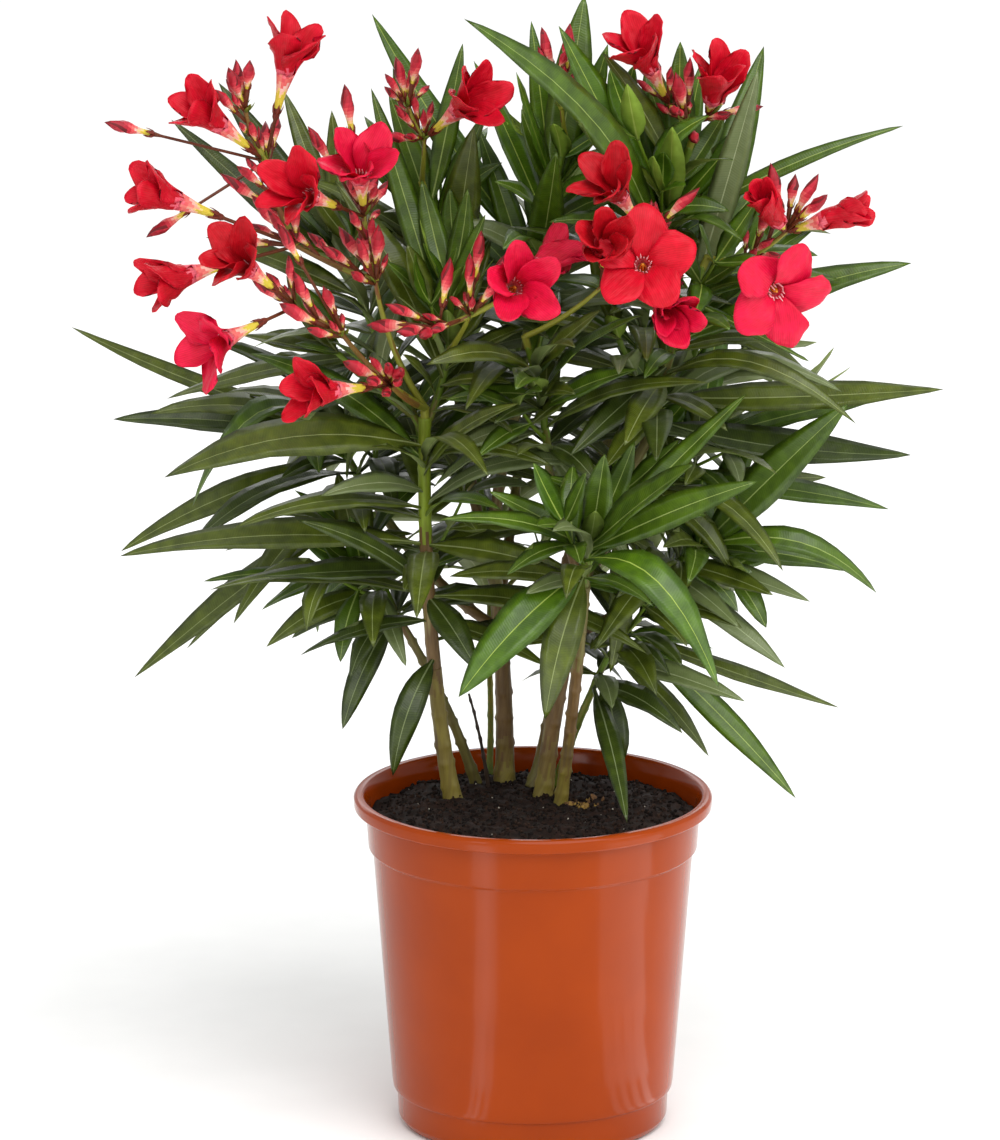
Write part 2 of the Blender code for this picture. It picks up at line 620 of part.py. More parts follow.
def insideCrown(point):
    offset = point - Vector(crown["middle"])
    return sum((offset[k] / crown["reach"][k]) ** 2 for k in range(3)) < 1


def reachLeaf(owner, twig, radii, wanted, leaves, rng):
    share, tip, arch, broad = wanted
    radius = taper(radii)(share)
    root = pointOn(twig, share)
    axis = headingOn(twig, share)
    roll = rng.uniform(-leaf["tilt"], leaf["tilt"])
    twist = rng.uniform(-14, 14)
    for depth in depths:
        aim = Vector(tip) + sight * depth
        spec = leafFrom(root, axis, aim, broad, roll, twist, arch, lean["outline"], radius)
        spec["long"] = True
        if leafFits(owner, spec):
            addLeaf(owner, spec, leaves)
            break


def whorl(owner, plan, twig, radii, share, length, rise, first, leaves, rng):
    """Three leaves round a twig, each turned, raised or shortened a little until it has room, or left out."""
    radius = taper(radii)(share)
    light = plan.get("light", lean["light"])
    root = pointOn(twig, share)
    axis = headingOn(twig, share)
    side = acrossTo(axis, Vector((0, 1, 0)))
    other = axis.cross(side)
    for number in range(3):
        bearing = first + 120 * number + rng.uniform(-leaf["turn"], leaf["turn"])
        lifted = rise + rng.uniform(-leaf["tilt"], leaf["tilt"])
        size = length * rng.uniform(*leaf["sizes"])
        roll = rng.uniform(-leaf["tilt"], leaf["tilt"])
        twist = rng.uniform(-leaf["twist"], leaf["twist"])
        arch = leaf["arch"] * rng.uniform(*leaf["arches"])
        for turn, raised, shrink in dodges:
            around = math.radians(bearing + turn)
            over = math.radians(min(84, lifted + raised))
            outward = side * math.cos(around) + other * math.sin(around)
            aim = root + (outward * math.cos(over) + axis * math.sin(over)) * size * shrink
            if not insideCrown(aim):
                continue
            curl = arch * (1 - 1.7 * max(0, math.sin(over) - 0.55) / 0.45)
            spec = leafFrom(root, axis, aim, 1.0, roll, twist, curl, light, radius)
            if leafFits(owner, spec):
                addLeaf(owner, spec, leaves)
                break


def whorlsOn(owner, plan, twig, radii, count, low, leaves, rng, scale=1.0):
    for step in range(count):
        share = low + (0.98 - low) * (step / max(1, count - 1))
        length = plan["leaf"] * scale * (1 + (plan["top"] - 1) * share)
        rise = plan["rise"][0] + (plan["rise"][1] - plan["rise"][0]) * share**1.3
        whorl(owner, plan, twig, radii, share, length, rise, plan["first"] + 60 * step, leaves, rng)


# --- where every limb, twig, leaf and flower stands ---
lines = {}
widths = {}
for name, plan in limbs.items():
    if "on" in plan:
        host = lines[plan["on"]]
        foot = pointOn(host, plan["from"]) - headingOn(host, 1) * (2 if plan["from"] == 1 else 0)
    else:
        foot = Vector(plan["foot"])
    lines[name] = lineOf(foot, plan["tip"], plan["bow"])
    widths[name] = taper(plan["radii"], lines[name]["run"].length, plan.get("flare", 0))
    place(name, "whole", rod(lines[name], widths[name], limbBlank))

ground = lineOf((0, 0, 120), (0, 0, compost["top"] + 0.6))
place("compost", "whole", rod(ground, taper((88, 88)), blank(24, (), False)))

for name, plan in masses.items():
    host = lines[plan["on"]]
    foot = pointOn(host, plan["from"]) - headingOn(host, 1) * (2 if plan["from"] == 1 else 0)
    lines[name] = lineOf(foot, plan["tip"], plan["bow"])
    widths[name] = taper(plan["radii"])
    mesh = rod(lines[name], widths[name], stemBlank)
    place(name, "whole", mesh)
    place(name, "twig", mesh)

flowers = {}
buds = {}
stalks = {}
for name, plan in heads.items():
    rng = random.Random(name)
    host = lines[plan["on"]]
    foot = pointOn(host, plan["from"])
    heading = headingOn(host, 1)
    if plan["from"] < 1:
        heading = (Vector(plan["hubs"][0][1]) - foot).normalized()
    stub = lineOf(foot - heading * 2, foot + heading * (6 if plan["from"] == 1 else 8))
    lines[name] = stub
    widths[name] = taper((plan["radii"][0], plan["radii"][0]))
    stalks[name] = []
    flowers[name] = []
    buds[name] = []
    ends = {-1: pointOn(stub, 0.9)}
    for number, (parent, spot) in enumerate(plan["hubs"]):
        hub = Vector(spot)
        run = hub - ends[parent]
        bend = up.cross(run).cross(run).normalized() * (run.length * rng.uniform(0.02, 0.06))
        ends[number] = hub
        stalks[name].append((lineOf(ends[parent], hub + run.normalized() * 1.5, bend), plan["radii"]))
    for parent, spot, opened in plan["flowers"]:
        start = ends[parent]
        facing = (Vector(spot) - start).normalized()
        spread = math.radians(bloom["closed"] + bloom["opens"] * opened)
        size = bloom["petal"] * rng.uniform(0.94, 1.06)
        flowers[name].append({
            "line": lineOf(start, Vector(spot) - facing * (size * math.cos(spread) / 2)), "facing": facing,
            "spread": spread, "size": size, "turn": rng.uniform(0, 1.2),
        })
    for parent, spot in plan["buds"]:
        buds[name].append(lineOf(ends[parent], spot))


def bloomMesh(flower):
    """A stalk and funnel with five petals round its mouth, each lapping over the next like a pinwheel."""
    line = flower["line"]
    length = line["run"].length
    facing = flower["facing"]
    side = acrossTo(facing, up)
    other = facing.cross(side)
    spread = flower["spread"]
    size = flower["size"]
    throat = pointOn(line, 1)
    apart = 2 * math.sin(math.pi / 5) * (bloom["throat"] + petalStations[0] * size * math.sin(spread))
    halfWidth = min(bloom["broad"] * size, apart * 0.98) / 2
    points = []
    for label in bloomBlank[0]:
        around = label[1] + flower["turn"]
        outward = side * math.cos(around) + other * math.sin(around)
        if label[0] == "tube":
            along, radius = funnel[round(label[2], 2)]
            spot = throat + facing * along if label[2] > 0.001 else throat - facing * length
            points.append(spot + outward * radius)
            continue
        station, margin, level = label[2:]
        across = facing.cross(outward)
        reach = size * petalStations[station - 1]
        bend = spread if station == 1 else spread * 1.06
        heading = outward * math.sin(bend) + facing * math.cos(bend)
        face = facing * math.sin(bend) - outward * math.cos(bend)
        half = halfWidth if station == 1 else halfWidth * bloom["blunt"]
        spot = throat + outward * bloom["throat"] * 0.9 + heading * reach + across * margin * half
        points.append(spot + face * (bloom["lap"] * margin * half + bloom["thick"] * (level - 0.5)))
    return points, bloomBlank[1]


def budMesh(line):
    def radiusAt(share):
        if share < 0.6:
            return bud["stalk"]
        return bud["radius"] if share < 0.9 else 0.0

    return rod(line, radiusAt, budBlank)


def partsOfHead(name):
    meshes = []
    for line, radii in stalks[name]:
        meshes.append(rod(line, taper(radii), stalkBlank))
    for flower in flowers[name]:
        meshes.append(bloomMesh(flower))
    for line in buds[name]:
        meshes.append(budMesh(line))
    return meshes


for name in heads:
    place(name, "whole", rod(lines[name], widths[name], stemBlank))
    for mesh in partsOfHead(name):
        place(name, "whole", mesh)
    for flower in flowers[name]:
        throat = pointOn(flower["line"], 1)
        ahead = lineOf(throat - sight * 12, throat - sight * bloom["clear"])
        place("open space", "whole", rod(ahead, taper((bloom["view"], bloom["view"])), twigBlank))

leaves = {}
forks = {}
for name, plan in masses.items():
    rng = random.Random(name)
    for wanted in plan["reach"]:
        reachLeaf(name, lines[name], plan["radii"], wanted, leaves, rng)
for name, plan in masses.items():
    rng = random.Random(name + " twigs")
    stem = lines[name]
    forks[name] = []
    for number in range(plan["forks"]):
        share = fork["first"] + fork["next"] * number
        axis = headingOn(stem, share)
        side = acrossTo(axis, Vector((0, 1, 0)))
        start = pointOn(stem, share)
        for attempt in range(fork["tries"]):
            bearing = rng.uniform(0, 2 * math.pi)
            outward = side * math.cos(bearing) + axis.cross(side) * math.sin(bearing)
            size = max(fork["shortest"], fork["length"] * stem["run"].length) * rng.uniform(0.8, 1.1)
            run = (outward * fork["out"] + axis * fork["along"]) * size
            twig = lineOf(start, start + run, -axis * size * 0.05)
            radii = (plan["radii"][1] * 0.95, plan["radii"][1] * 0.75)
            mesh = rod(twig, taper(radii), twigBlank, room["leaf"])
            far = pointOn(twig, 1)
            if not insideCrown(far) or meets(mesh, lambda who, kind: who != name and kind == "whole"):
                continue
            if meets(rod(twig, taper(radii), twigBlank), lambda who, kind: who == name and kind == "blade"):
                continue
            forks[name].append((twig, radii))
            place(name, "whole", mesh)
            place(name, "twig", mesh)
            break
for name, plan in masses.items():
    rng = random.Random(name + " leaves")
    whorlsOn(name, plan, lines[name], plan["radii"], plan["whorls"], 0.12, leaves, rng)
    for twig, radii in forks[name]:
        whorlsOn(name, plan, twig, radii, 2, 0.5, leaves, rng, 0.85)


# --- solids ---
def objectOf(name, mesh):
    points, faces = mesh
    data = bpy.data.meshes.new(name)
    data.from_pydata([tuple(point * mm) for point in points], [], faces)
    shape = bmesh.new()
    shape.from_mesh(data)
    bmesh.ops.recalc_face_normals(shape, faces=shape.faces)
    if shape.calc_volume(signed=True) < 0:
        bmesh.ops.reverse_faces(shape, faces=shape.faces)
    shape.to_mesh(data)
    shape.free()
    return bpy.data.objects.new(name, data)


def bake(thing):
    """Applies the object's modifiers."""
    graph = bpy.context.evaluated_depsgraph_get()
    data = bpy.data.meshes.new_from_object(thing.evaluated_get(graph))
    thing.modifiers.clear()
    thing.data = data


def biggestBody(thing, flat):
    """Drops loose scrap and the faces of sealed hollows, then edges flatter than so many degrees."""
    shape = bmesh.new()
    shape.from_mesh(thing.data)
    left = set(shape.faces)
    bodies = []
    while left:
        edge = [left.pop()]
        body = list(edge)
        while edge:
            face = edge.pop()
            for side in face.edges:
                for near in side.link_faces:
                    if near in left:
                        left.remove(near)
                        edge.append(near)
                        body.append(near)
        bodies.append(body)
    bodies.sort(key=len)
    for body in bodies[:-1]:
        bmesh.ops.delete(shape, geom=body, context="FACES")
    loose = [vert for vert in shape.verts if not vert.link_faces]
    bmesh.ops.delete(shape, geom=loose, context="VERTS")
    if flat:
        limit = math.radians(flat)
        bmesh.ops.dissolve_limit(shape, angle_limit=limit, verts=shape.verts[:], edges=shape.edges[:])
        bmesh.ops.triangulate(shape, faces=shape.faces[:])
    shape.to_mesh(thing.data)
    shape.free()


def joined(thing, meshes, operation, flat=0.0):
    """One Boolean of the object with a collection of pieces, applied, and the pieces then removed.

    The exact solver loses whole leaves and some carved stems here, so all use the manifold one.
    """
    pieces = bpy.data.collections.new("pieces")
    bpy.context.scene.collection.children.link(pieces)
    for number, mesh in enumerate(meshes):
        pieces.objects.link(objectOf("piece " + str(number), mesh))
    modifier = thing.modifiers.new(operation.lower(), "BOOLEAN")
    modifier.operation = operation
    modifier.operand_type = "COLLECTION"
    modifier.collection = pieces
    modifier.solver = "MANIFOLD"
    bake(thing)
    for piece in list(pieces.objects):
        bpy.data.objects.remove(piece)
    bpy.data.collections.remove(pieces)
    biggestBody(thing, flat)


def paint(thing, colour, roughness):
    material = bpy.data.materials.new(thing.name)
    material.use_nodes = True
    shader = material.node_tree.nodes["Principled BSDF"]
    shader.inputs["Base Color"].default_value = (*colour, 1)
    shader.inputs["Roughness"].default_value = roughness
    thing.data.materials.clear()
    thing.data.materials.append(material)


def turned(name, profile):
    """A closed solid of revolution; the profile (radius, height) runs down its outer side."""
    data = bpy.data.meshes.new(name)
    points = [(radius * mm, 0, height * mm) for radius, height in profile]
    data.from_pydata(points, [(k, k + 1) for k in range(len(points) - 1)], [])
    thing = bpy.data.objects.new(name, data)
    plant.objects.link(thing)
    screw = thing.modifiers.new("turn", "SCREW")
    screw.steps = turnSteps
    screw.render_steps = turnSteps
    screw.use_merge_vertices = True
    screw.merge_threshold = 0.00001
    bake(thing)
    return thing


plant = bpy.data.collections.new("potted oleander")
bpy.context.scene.collection.children.link(plant)

wall = pot["wall"]
inner = (
    (0, pot["floor"]),
    (pot["footRadius"] - wall - 1.5, pot["floor"]),
    (pot["footRadius"] - wall, pot["floor"] + 1.5),
    (pot["footRadius"] - wall, pot["footTop"]),
    (pot["bodyFoot"] - wall, pot["footTop"] + 2.2),
    (pot["bodyTop"] - wall, pot["collarFoot"] - 2),
    (pot["collarRadius"] - wall - 1.2, pot["collarFoot"] + 0.6),
    (pot["collarRadius"] - wall, pot["height"] - pot["lipDepth"]),
    (pot["crestRadius"] - 1.1, pot["height"] - 1.4),
)
outer = (
    (pot["crestRadius"], pot["height"]),
    (pot["rimRadius"] - 1.4, pot["height"]),
    (pot["rimRadius"], pot["height"] - 1.6),
    (pot["rimRadius"] - 0.9, pot["height"] - pot["lipDepth"]),
    (pot["collarRadius"] + 0.3, pot["height"] - pot["lipDepth"]),
    (pot["collarRadius"] - 0.2, pot["height"] - pot["lipDepth"] - 2),
    (pot["collarRadius"] - 1.5, pot["collarFoot"]),
    (pot["bodyTop"], pot["collarFoot"] - 1.8),
    (pot["bodyFoot"], pot["footTop"] + 1.6),
    (pot["footRadius"] + 0.3, pot["footTop"]),
    (pot["footRadius"] - 0.3, 4.5),
    (pot["footRadius"] - 2.3, 1.2),
    (pot["footRadius"] - 5.8, 0),
    (0, 0),
)
shell = turned("pot", inner + outer)
holes = []
for number in range(pot["drains"]):
    around = 2 * math.pi * (number + 0.5) / pot["drains"]
    spot = (pot["drainCircle"] * math.cos(around), pot["drainCircle"] * math.sin(around))
    hole = lineOf((*spot, -3), (*spot, pot["floor"] + 3))
    holes.append(rod(hole, taper((pot["drainRadius"], pot["drainRadius"])), blank(8, (), False)))
joined(shell, holes, "DIFFERENCE")
paint(shell, colours["pot"], 0.3)

filling = (
    (0, compost["top"]),
    (compost["plateau"], compost["top"] - 0.2),
    (compost["plateau"] + 14, compost["top"] - 3.6),
    (pot["collarRadius"] - wall - gap - 0.25, compost["edge"]),
    (pot["collarRadius"] - wall - 1.2 - gap, pot["collarFoot"] + 0.6),
    (pot["bodyTop"] - wall - gap, pot["collarFoot"] - 2),
    (pot["bodyFoot"] - wall - gap, pot["footTop"] + 2.4),
    (pot["footRadius"] - wall - gap, pot["footTop"] + 0.2),
    (pot["footRadius"] - wall - 1.5 - gap, pot["floor"] + gap),
    (0, pot["floor"] + gap),
)
paint(turned("compost", filling), colours["compost"], 0.95)

built = []
for name, plan in limbs.items():
    level = None if "on" in plan else plan["foot"][2]
    thing = objectOf(name, rod(lines[name], widths[name], limbBlank, 0.0, level))
    plant.objects.link(thing)
    if "on" in plan:
        near = [plan["on"]] + [other for other in built if limbs[other].get("on") == plan["on"]]
        cutters = [rod(lines[other], widths[other], limbBlank, room["cutter"]) for other in near]
        joined(thing, cutters, "DIFFERENCE")
    built.append(name)
    paint(thing, colours.get(name, colours["bark"]), 0.8)

for number, (name, plan) in enumerate(masses.items()):
    thing = objectOf(name, rod(lines[name], widths[name], stemBlank))
    plant.objects.link(thing)
    host = plan["on"]
    near = [host] + [other for other in lines if other != name and other in built and (
        masses.get(other, limbs.get(other, {})).get("on") == host)]
    built.append(name)
    cutters = [rod(lines[other], widths[other], limbBlank, room["cutter"]) for other in near]
    joined(thing, cutters, "DIFFERENCE")
    meshes = [leafMesh(spec) for spec in leaves.get(name, [])]
    meshes += [rod(twig, taper(radii), twigBlank) for twig, radii in forks[name]]
    joined(thing, meshes, "UNION", flatEdge)
    paint(thing, colours["leaves"][number % 3], 0.5)

for name, plan in heads.items():
    thing = objectOf(name, rod(lines[name], widths[name], stemBlank))
    plant.objects.link(thing)
    host = plan["on"]
    near = [host] + [other for other in built if masses.get(other, {}).get("on") == host]
    cutters = [rod(lines[other], widths[other], limbBlank, room["cutter"]) for other in near]
    joined(thing, cutters, "DIFFERENCE")
    joined(thing, partsOfHead(name), "UNION", flatEdge)
    paint(thing, colours["petals"], 0.5)
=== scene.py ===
import math
import random

import bmesh
import bpy
from mathutils import Euler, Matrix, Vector, noise
from mathutils.bvhtree import BVHTree


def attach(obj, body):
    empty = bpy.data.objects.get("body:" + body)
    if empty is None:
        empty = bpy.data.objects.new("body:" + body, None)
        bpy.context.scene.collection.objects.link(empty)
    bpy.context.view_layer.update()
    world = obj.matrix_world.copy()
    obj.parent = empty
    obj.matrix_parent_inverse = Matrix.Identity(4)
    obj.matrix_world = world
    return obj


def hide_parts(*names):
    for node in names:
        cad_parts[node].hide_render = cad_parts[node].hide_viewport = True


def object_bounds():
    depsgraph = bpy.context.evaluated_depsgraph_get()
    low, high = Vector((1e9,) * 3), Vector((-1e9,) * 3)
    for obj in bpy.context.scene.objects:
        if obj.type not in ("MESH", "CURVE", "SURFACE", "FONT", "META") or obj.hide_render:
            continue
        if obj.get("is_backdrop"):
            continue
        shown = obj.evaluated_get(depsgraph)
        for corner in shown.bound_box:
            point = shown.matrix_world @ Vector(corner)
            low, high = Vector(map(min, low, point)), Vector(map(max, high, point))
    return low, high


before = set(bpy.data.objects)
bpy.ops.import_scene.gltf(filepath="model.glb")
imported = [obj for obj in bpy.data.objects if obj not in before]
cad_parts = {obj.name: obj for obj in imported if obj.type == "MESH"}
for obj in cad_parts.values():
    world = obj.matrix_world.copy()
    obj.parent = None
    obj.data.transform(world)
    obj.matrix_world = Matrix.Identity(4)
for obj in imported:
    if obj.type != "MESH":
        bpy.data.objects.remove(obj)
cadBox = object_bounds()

mm = 0.001  # lengths below are in millimetres and angles in degrees
gap = 0.3
up = Vector((0, 0, 1))
sight = Vector((0, 1, -0.257))
scene = bpy.context.scene

# camera, lights and floor
studio = {
    "lookAt": (-0.0174, 0.0, 0.3015), "distance": 5.0, "elevation": 14.3, "lens": 300.0,
    "world": "#fbfcfe", "worldStrength": 0.7, "floor": "#f4f4f2", "floorSize": 7.0,
    # the key: bearing from the front, height above level, strength, how wide it shines
    "key": (24, 52, 2.1, 50),
    # softboxes: bearing round the pot from the front, height, distance, size across and up, watts
    "softboxes": ((-34, 0.5, 1.5, 0.3, 1.2, 4.0), (60, 0.6, 1.7, 0.8, 1.5, 8.0),
                  (176, 1.5, 1.8, 1.2, 0.8, 5.0), (190, 0.95, 1.8, 2.2, 0.45, 5.0)),
    # lamps lying on the floor, seen only as reflections in the pot's side: bearing, half angle, brightness
    "floorLamps": ((-36, 4.0, 1.8), (-32, 4.0, 2.5), (-27, 4.0, 1.7), (50, 7.0, 1.2), (58, 7.0, 1.4),
                   (67, 8.0, 1.6), (77, 10.0, 1.8)),
    "floorLampEnds": (0.09, 0.13, 0.19, 0.28, 0.42, 0.62), "floorLampHeight": 0.003,
    "softboxAim": (0, 0, 0.3), "potFoot": 0.072,
}


def linear(code):
    # an sRGB hex colour as linear values
    parts = [int(code[k:k + 2], 16) / 255 for k in (1, 3, 5)]
    return (*[c / 12.92 if c <= 0.04045 else ((c + 0.055) / 1.055) ** 2.4 for c in parts], 1.0)


def addObject(name, data):
    made = bpy.data.objects.new(name, data)
    scene.collection.objects.link(made)
    return made


def meshFrom(shape, name):
    data = bpy.data.meshes.new(name)
    shape.to_mesh(data)
    shape.free()
    return data


def addNode(tree, kind, settings=None, links=None):
    # a node with its settings (sockets by name or number, or properties) and what feeds it
    node = tree.nodes.new("ShaderNode" + kind)
    for key, value in (settings or {}).items():
        if isinstance(key, int) or key in node.inputs:
            node.inputs[key].default_value = value
        else:
            setattr(node, key, value)
    for key, source in (links or {}).items():
        tree.links.new(source, node.inputs[key])
    return node


def newFinish(name, settings):
    # a material with its main shader set, ready for its pattern
    material = bpy.data.materials.new(name)
    material.use_nodes = True
    shader = material.node_tree.nodes["Principled BSDF"]
    for key, value in settings.items():
        shader.inputs[key].default_value = value
    material.diffuse_color = settings.get("Base Color", (0.5, 0.5, 0.5, 1))
    return material, material.node_tree, shader


def patchy(tree, shader, place, pair, size, detail, low, roughness=None):
    # two close colours in soft patches of a given size in mm, and roughness that follows them
    patches = addNode(tree, "TexNoise", {"Scale": 1 / (size * mm), "Detail": detail}, {"Vector": place})
    spread = addNode(tree, "MapRange", {"From Min": low, "From Max": 1 - low},
                     {"Value": patches.outputs["Fac"]})
    tone = addNode(tree, "Mix", {"data_type": "RGBA", 6: linear(pair[0]), 7: linear(pair[1])},
                   {0: spread.outputs["Result"]})
    if roughness:
        rough = addNode(tree, "MapRange", {"To Min": roughness[0], "To Max": roughness[1]},
                        {"Value": patches.outputs["Fac"]})
        tree.links.new(rough.outputs["Result"], shader.inputs["Roughness"])
    return patches.outputs["Fac"], tone.outputs[2]


def mottled(name, first, second, size, roughness, settings=None, bump=None, stretch=(1, 1, 1), flow=False,
            detail=3.0, spots=None):
    # two close colours in noise of a given size in mm, and roughness between two values
    # bump: size and depth of a fine grain in mm, spots: their colour and size in mm, flow: along a limb
    material, tree, shader = newFinish(name, {"Base Color": linear(first), **(settings or {})})
    place = addNode(tree, "TexCoord").outputs["UV" if flow else "Object"]
    place = addNode(tree, "Mapping", {"Scale": stretch}, {"Vector": place}).outputs["Vector"]
    colour = patchy(tree, shader, place, (first, second), size, detail, 0.34, roughness)[1]
    if spots:
        dots = addNode(tree, "TexVoronoi", {"Scale": 1 / (spots[1] * mm)}, {"Vector": place})
        edge = addNode(tree, "MapRange", {"From Min": 0.12, "From Max": 0.3, "To Min": 1.0, "To Max": 0.0},
                       {"Value": dots.outputs["Distance"]})
        colour = addNode(tree, "Mix", {"data_type": "RGBA", 7: linear(spots[0])},
                         {0: edge.outputs["Result"], 6: colour}).outputs[2]
    tree.links.new(colour, shader.inputs["Base Color"])
    if bump:
        grain = addNode(tree, "TexNoise", {"Scale": 1 / (bump[0] * mm), "Detail": 2.0}, {"Vector": place})
        relief = addNode(tree, "Bump", {"Distance": bump[1] * mm, "Strength": 1.0},
                         {"Height": grain.outputs["Fac"]})
        tree.links.new(relief.outputs["Normal"], shader.inputs["Normal"])
    return material


camera = addObject("camera", bpy.data.cameras.new("camera"))
camera.data.sensor_fit = "VERTICAL"
camera.data.sensor_height = 36.0
camera.data.lens = studio["lens"]
camera.data.clip_end = 50.0
tilt = math.radians(studio["elevation"])
aside = Vector((0, -math.cos(tilt), math.sin(tilt)))
camera.location = Vector(studio["lookAt"]) + aside * studio["distance"]
camera.rotation_euler = Euler((math.pi / 2 - tilt, 0, 0))
scene.camera = camera
scene.view_settings.view_transform = "Standard"  # hex colours then show as they are written

world = bpy.data.worlds.new("studio")
scene.world = world
world.use_nodes = True
sky = world.node_tree.nodes["Background"]
sky.inputs["Color"].default_value = linear(studio["world"])
sky.inputs["Strength"].default_value = studio["worldStrength"]


def areaLamp(name, across, tall, watts, bearing, away, high):
    # a rectangular lamp at a bearing round the pot
    lamp = bpy.data.lights.new(name, "AREA")
    lamp.shape = "RECTANGLE"
    lamp.size = across
    lamp.size_y = tall
    lamp.energy = watts
    box = addObject(name, lamp)
    around = math.radians(bearing)
    box.location = (away * math.sin(around), -away * math.cos(around), high)
    box.rotation_euler = Euler((math.pi, 0, around))
    return box


for number, (bearing, high, away, across, tall, watts) in enumerate(studio["softboxes"]):
    box = areaLamp("softbox" + str(number), across, tall, watts, bearing, away, high)
    box.rotation_euler = (Vector(studio["softboxAim"]) - box.location).to_track_quat("-Z", "Y").to_euler()
for bearing, half, glow in studio["floorLamps"]:
    for near, far in zip(studio["floorLampEnds"], studio["floorLampEnds"][1:]):
        middle = (near + far) / 2
        across = 2 * (middle - studio["potFoot"]) * math.tan(math.radians(half))
        watts = glow * math.pi * across * (far - near)
        lamp = areaLamp("floorLamp", across, far - near, watts, bearing, middle, studio["floorLampHeight"])
        lamp.visible_camera = False

bearing, high, strength, width = studio["key"]
key = bpy.data.lights.new("key", "SUN")
key.energy = strength
key.angle = math.radians(width)
addObject("key", key).rotation_euler = Euler((math.radians(90 - high), 0, math.radians(bearing)))

shape = bmesh.new()
bmesh.ops.create_grid(shape, x_segments=1, y_segments=1, size=studio["floorSize"])
floor = addObject("studioFloor", meshFrom(shape, "studioFloor"))
floor.data.materials.append(mottled("paleStudioPaper", studio["floor"], "#f1f1ef", 60, (0.8, 0.9),
                                    {"Specular IOR Level": 0.2}))
floor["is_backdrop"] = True
print("camera, softboxes and floor stand")


def finishPiece(name, shape, materials, slotName, *nodes):
    # the finished mesh as a shown piece that rides on the plant's one body
    data = meshFrom(shape, name)
    for material in materials:
        data.materials.append(material)
    data.update()
    piece = addObject(name, data)
    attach(piece, "root")
    if nodes:
        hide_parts(*nodes)
    print(name, len(data.polygons), "faces")
    return piece


# pot: injection-moulded plastic, spun
pot = {
    "height": 180.0, "rimRadius": 95.0, "crestRadius": 90.3, "lipDepth": 7.6, "collarRadius": 88.6,
    "collarFoot": 151.5, "bodyTop": 84.7, "bodyFoot": 74.4, "footTop": 18.4, "footRadius": 71.8, "wall": 1.3,
    "floor": 2.0, "drains": 6, "drainRadius": 4.5, "drainCircle": 50.0,
    "steps": 144, "round": 0.5, "crease": 40,
    "plastic": "#933703", "plasticDeep": "#8c3303", "gloss": (0.1, 0.19), "specular": 0.17,
}
# the compost's surface: how far it falls within the plateau, then over a shoulder, then to its edge
compost = {"top": 175.0, "plateau": 63.0, "dip": 0.2, "shoulder": 14.0, "drop": 3.6, "edge": 168.5}
wall = pot["wall"]


def spun(profile, steps, rounded=0.0, segments=2):
    # a closed solid of revolution from a profile that runs from axis to axis
    shape = bmesh.new()
    before = None
    for radius, height in profile:
        vert = shape.verts.new((radius * mm, 0, height * mm))
        if before:
            shape.edges.new((before, vert))
        before = vert
    if rounded:
        corners = []
        for vert in shape.verts:
            if len(vert.link_edges) != 2 or vert.co.x < 0.001:
                continue
            first, second = [edge.other_vert(vert).co - vert.co for edge in vert.link_edges]
            shortest = min(first.length, second.length)
            if first.angle(second) < math.radians(155) and shortest > 1.1 * rounded * mm:
                corners.append(vert)
        bmesh.ops.bevel(shape, geom=corners, offset=rounded * mm, offset_type="OFFSET", segments=segments,
                        profile=0.5, affect="VERTICES", material=-1, clamp_overlap=True)
    bmesh.ops.spin(shape, geom=shape.verts[:] + shape.edges[:], cent=(0, 0, 0), axis=up,
                   angle=2 * math.pi, steps=steps, use_merge=True)
    bmesh.ops.remove_doubles(shape, verts=shape.verts, dist=1e-6)
    flat = [face for face in shape.faces if face.calc_area() < 1e-14]
    if flat:
        bmesh.ops.delete(shape, geom=flat, context="FACES")
    bmesh.ops.recalc_face_normals(shape, faces=shape.faces)
    for face in shape.faces:
        face.smooth = True
    return shape


foot, body, collar = pot["footRadius"], pot["bodyFoot"], pot["collarRadius"]
lip = pot["height"] - pot["lipDepth"]
# radius and height, from the middle of the floor up the inside and down the outside
profile = (
    (0, pot["floor"]),
    (foot - wall - 1.5, pot["floor"]),
    (foot - wall, pot["floor"] + 1.5),
    (foot - wall, pot["footTop"]),
    (body - wall, pot["footTop"] + 2.2),
    (pot["bodyTop"] - wall, pot["collarFoot"] - 2),
    (collar - wall - 1.2, pot["collarFoot"] + 0.6),
    (collar - wall, lip),
    (pot["crestRadius"] - 1.1, pot["height"] - 1.4),
    (pot["crestRadius"], pot["height"]),
    (pot["rimRadius"] - 1.4, pot["height"]),
    (pot["rimRadius"], pot["height"] - 1.6),
    (pot["rimRadius"] - 0.3, lip + 0.9),
    (pot["rimRadius"] - 1.4, lip),
    (collar + 0.3, lip),
    (collar - 0.2, lip - 2),
    (collar - 1.5, pot["collarFoot"]),
    (pot["bodyTop"], pot["collarFoot"] - 1.8),
    (body + 0.4, pot["footTop"] + 5),
    (body - 0.2, pot["footTop"] + 1.2),
    (foot + 0.3, pot["footTop"]),
    (foot - 0.3, 4.5),
    (foot - 2.3, 1.2),
    (foot - 5.8, 0),
    (0, 0),
)
shape = spun(profile, pot["steps"], pot["round"])
for edge in shape.edges:
    if len(edge.link_faces) == 2 and edge.calc_face_angle(0) > math.radians(pot["crease"]):
        edge.smooth = False

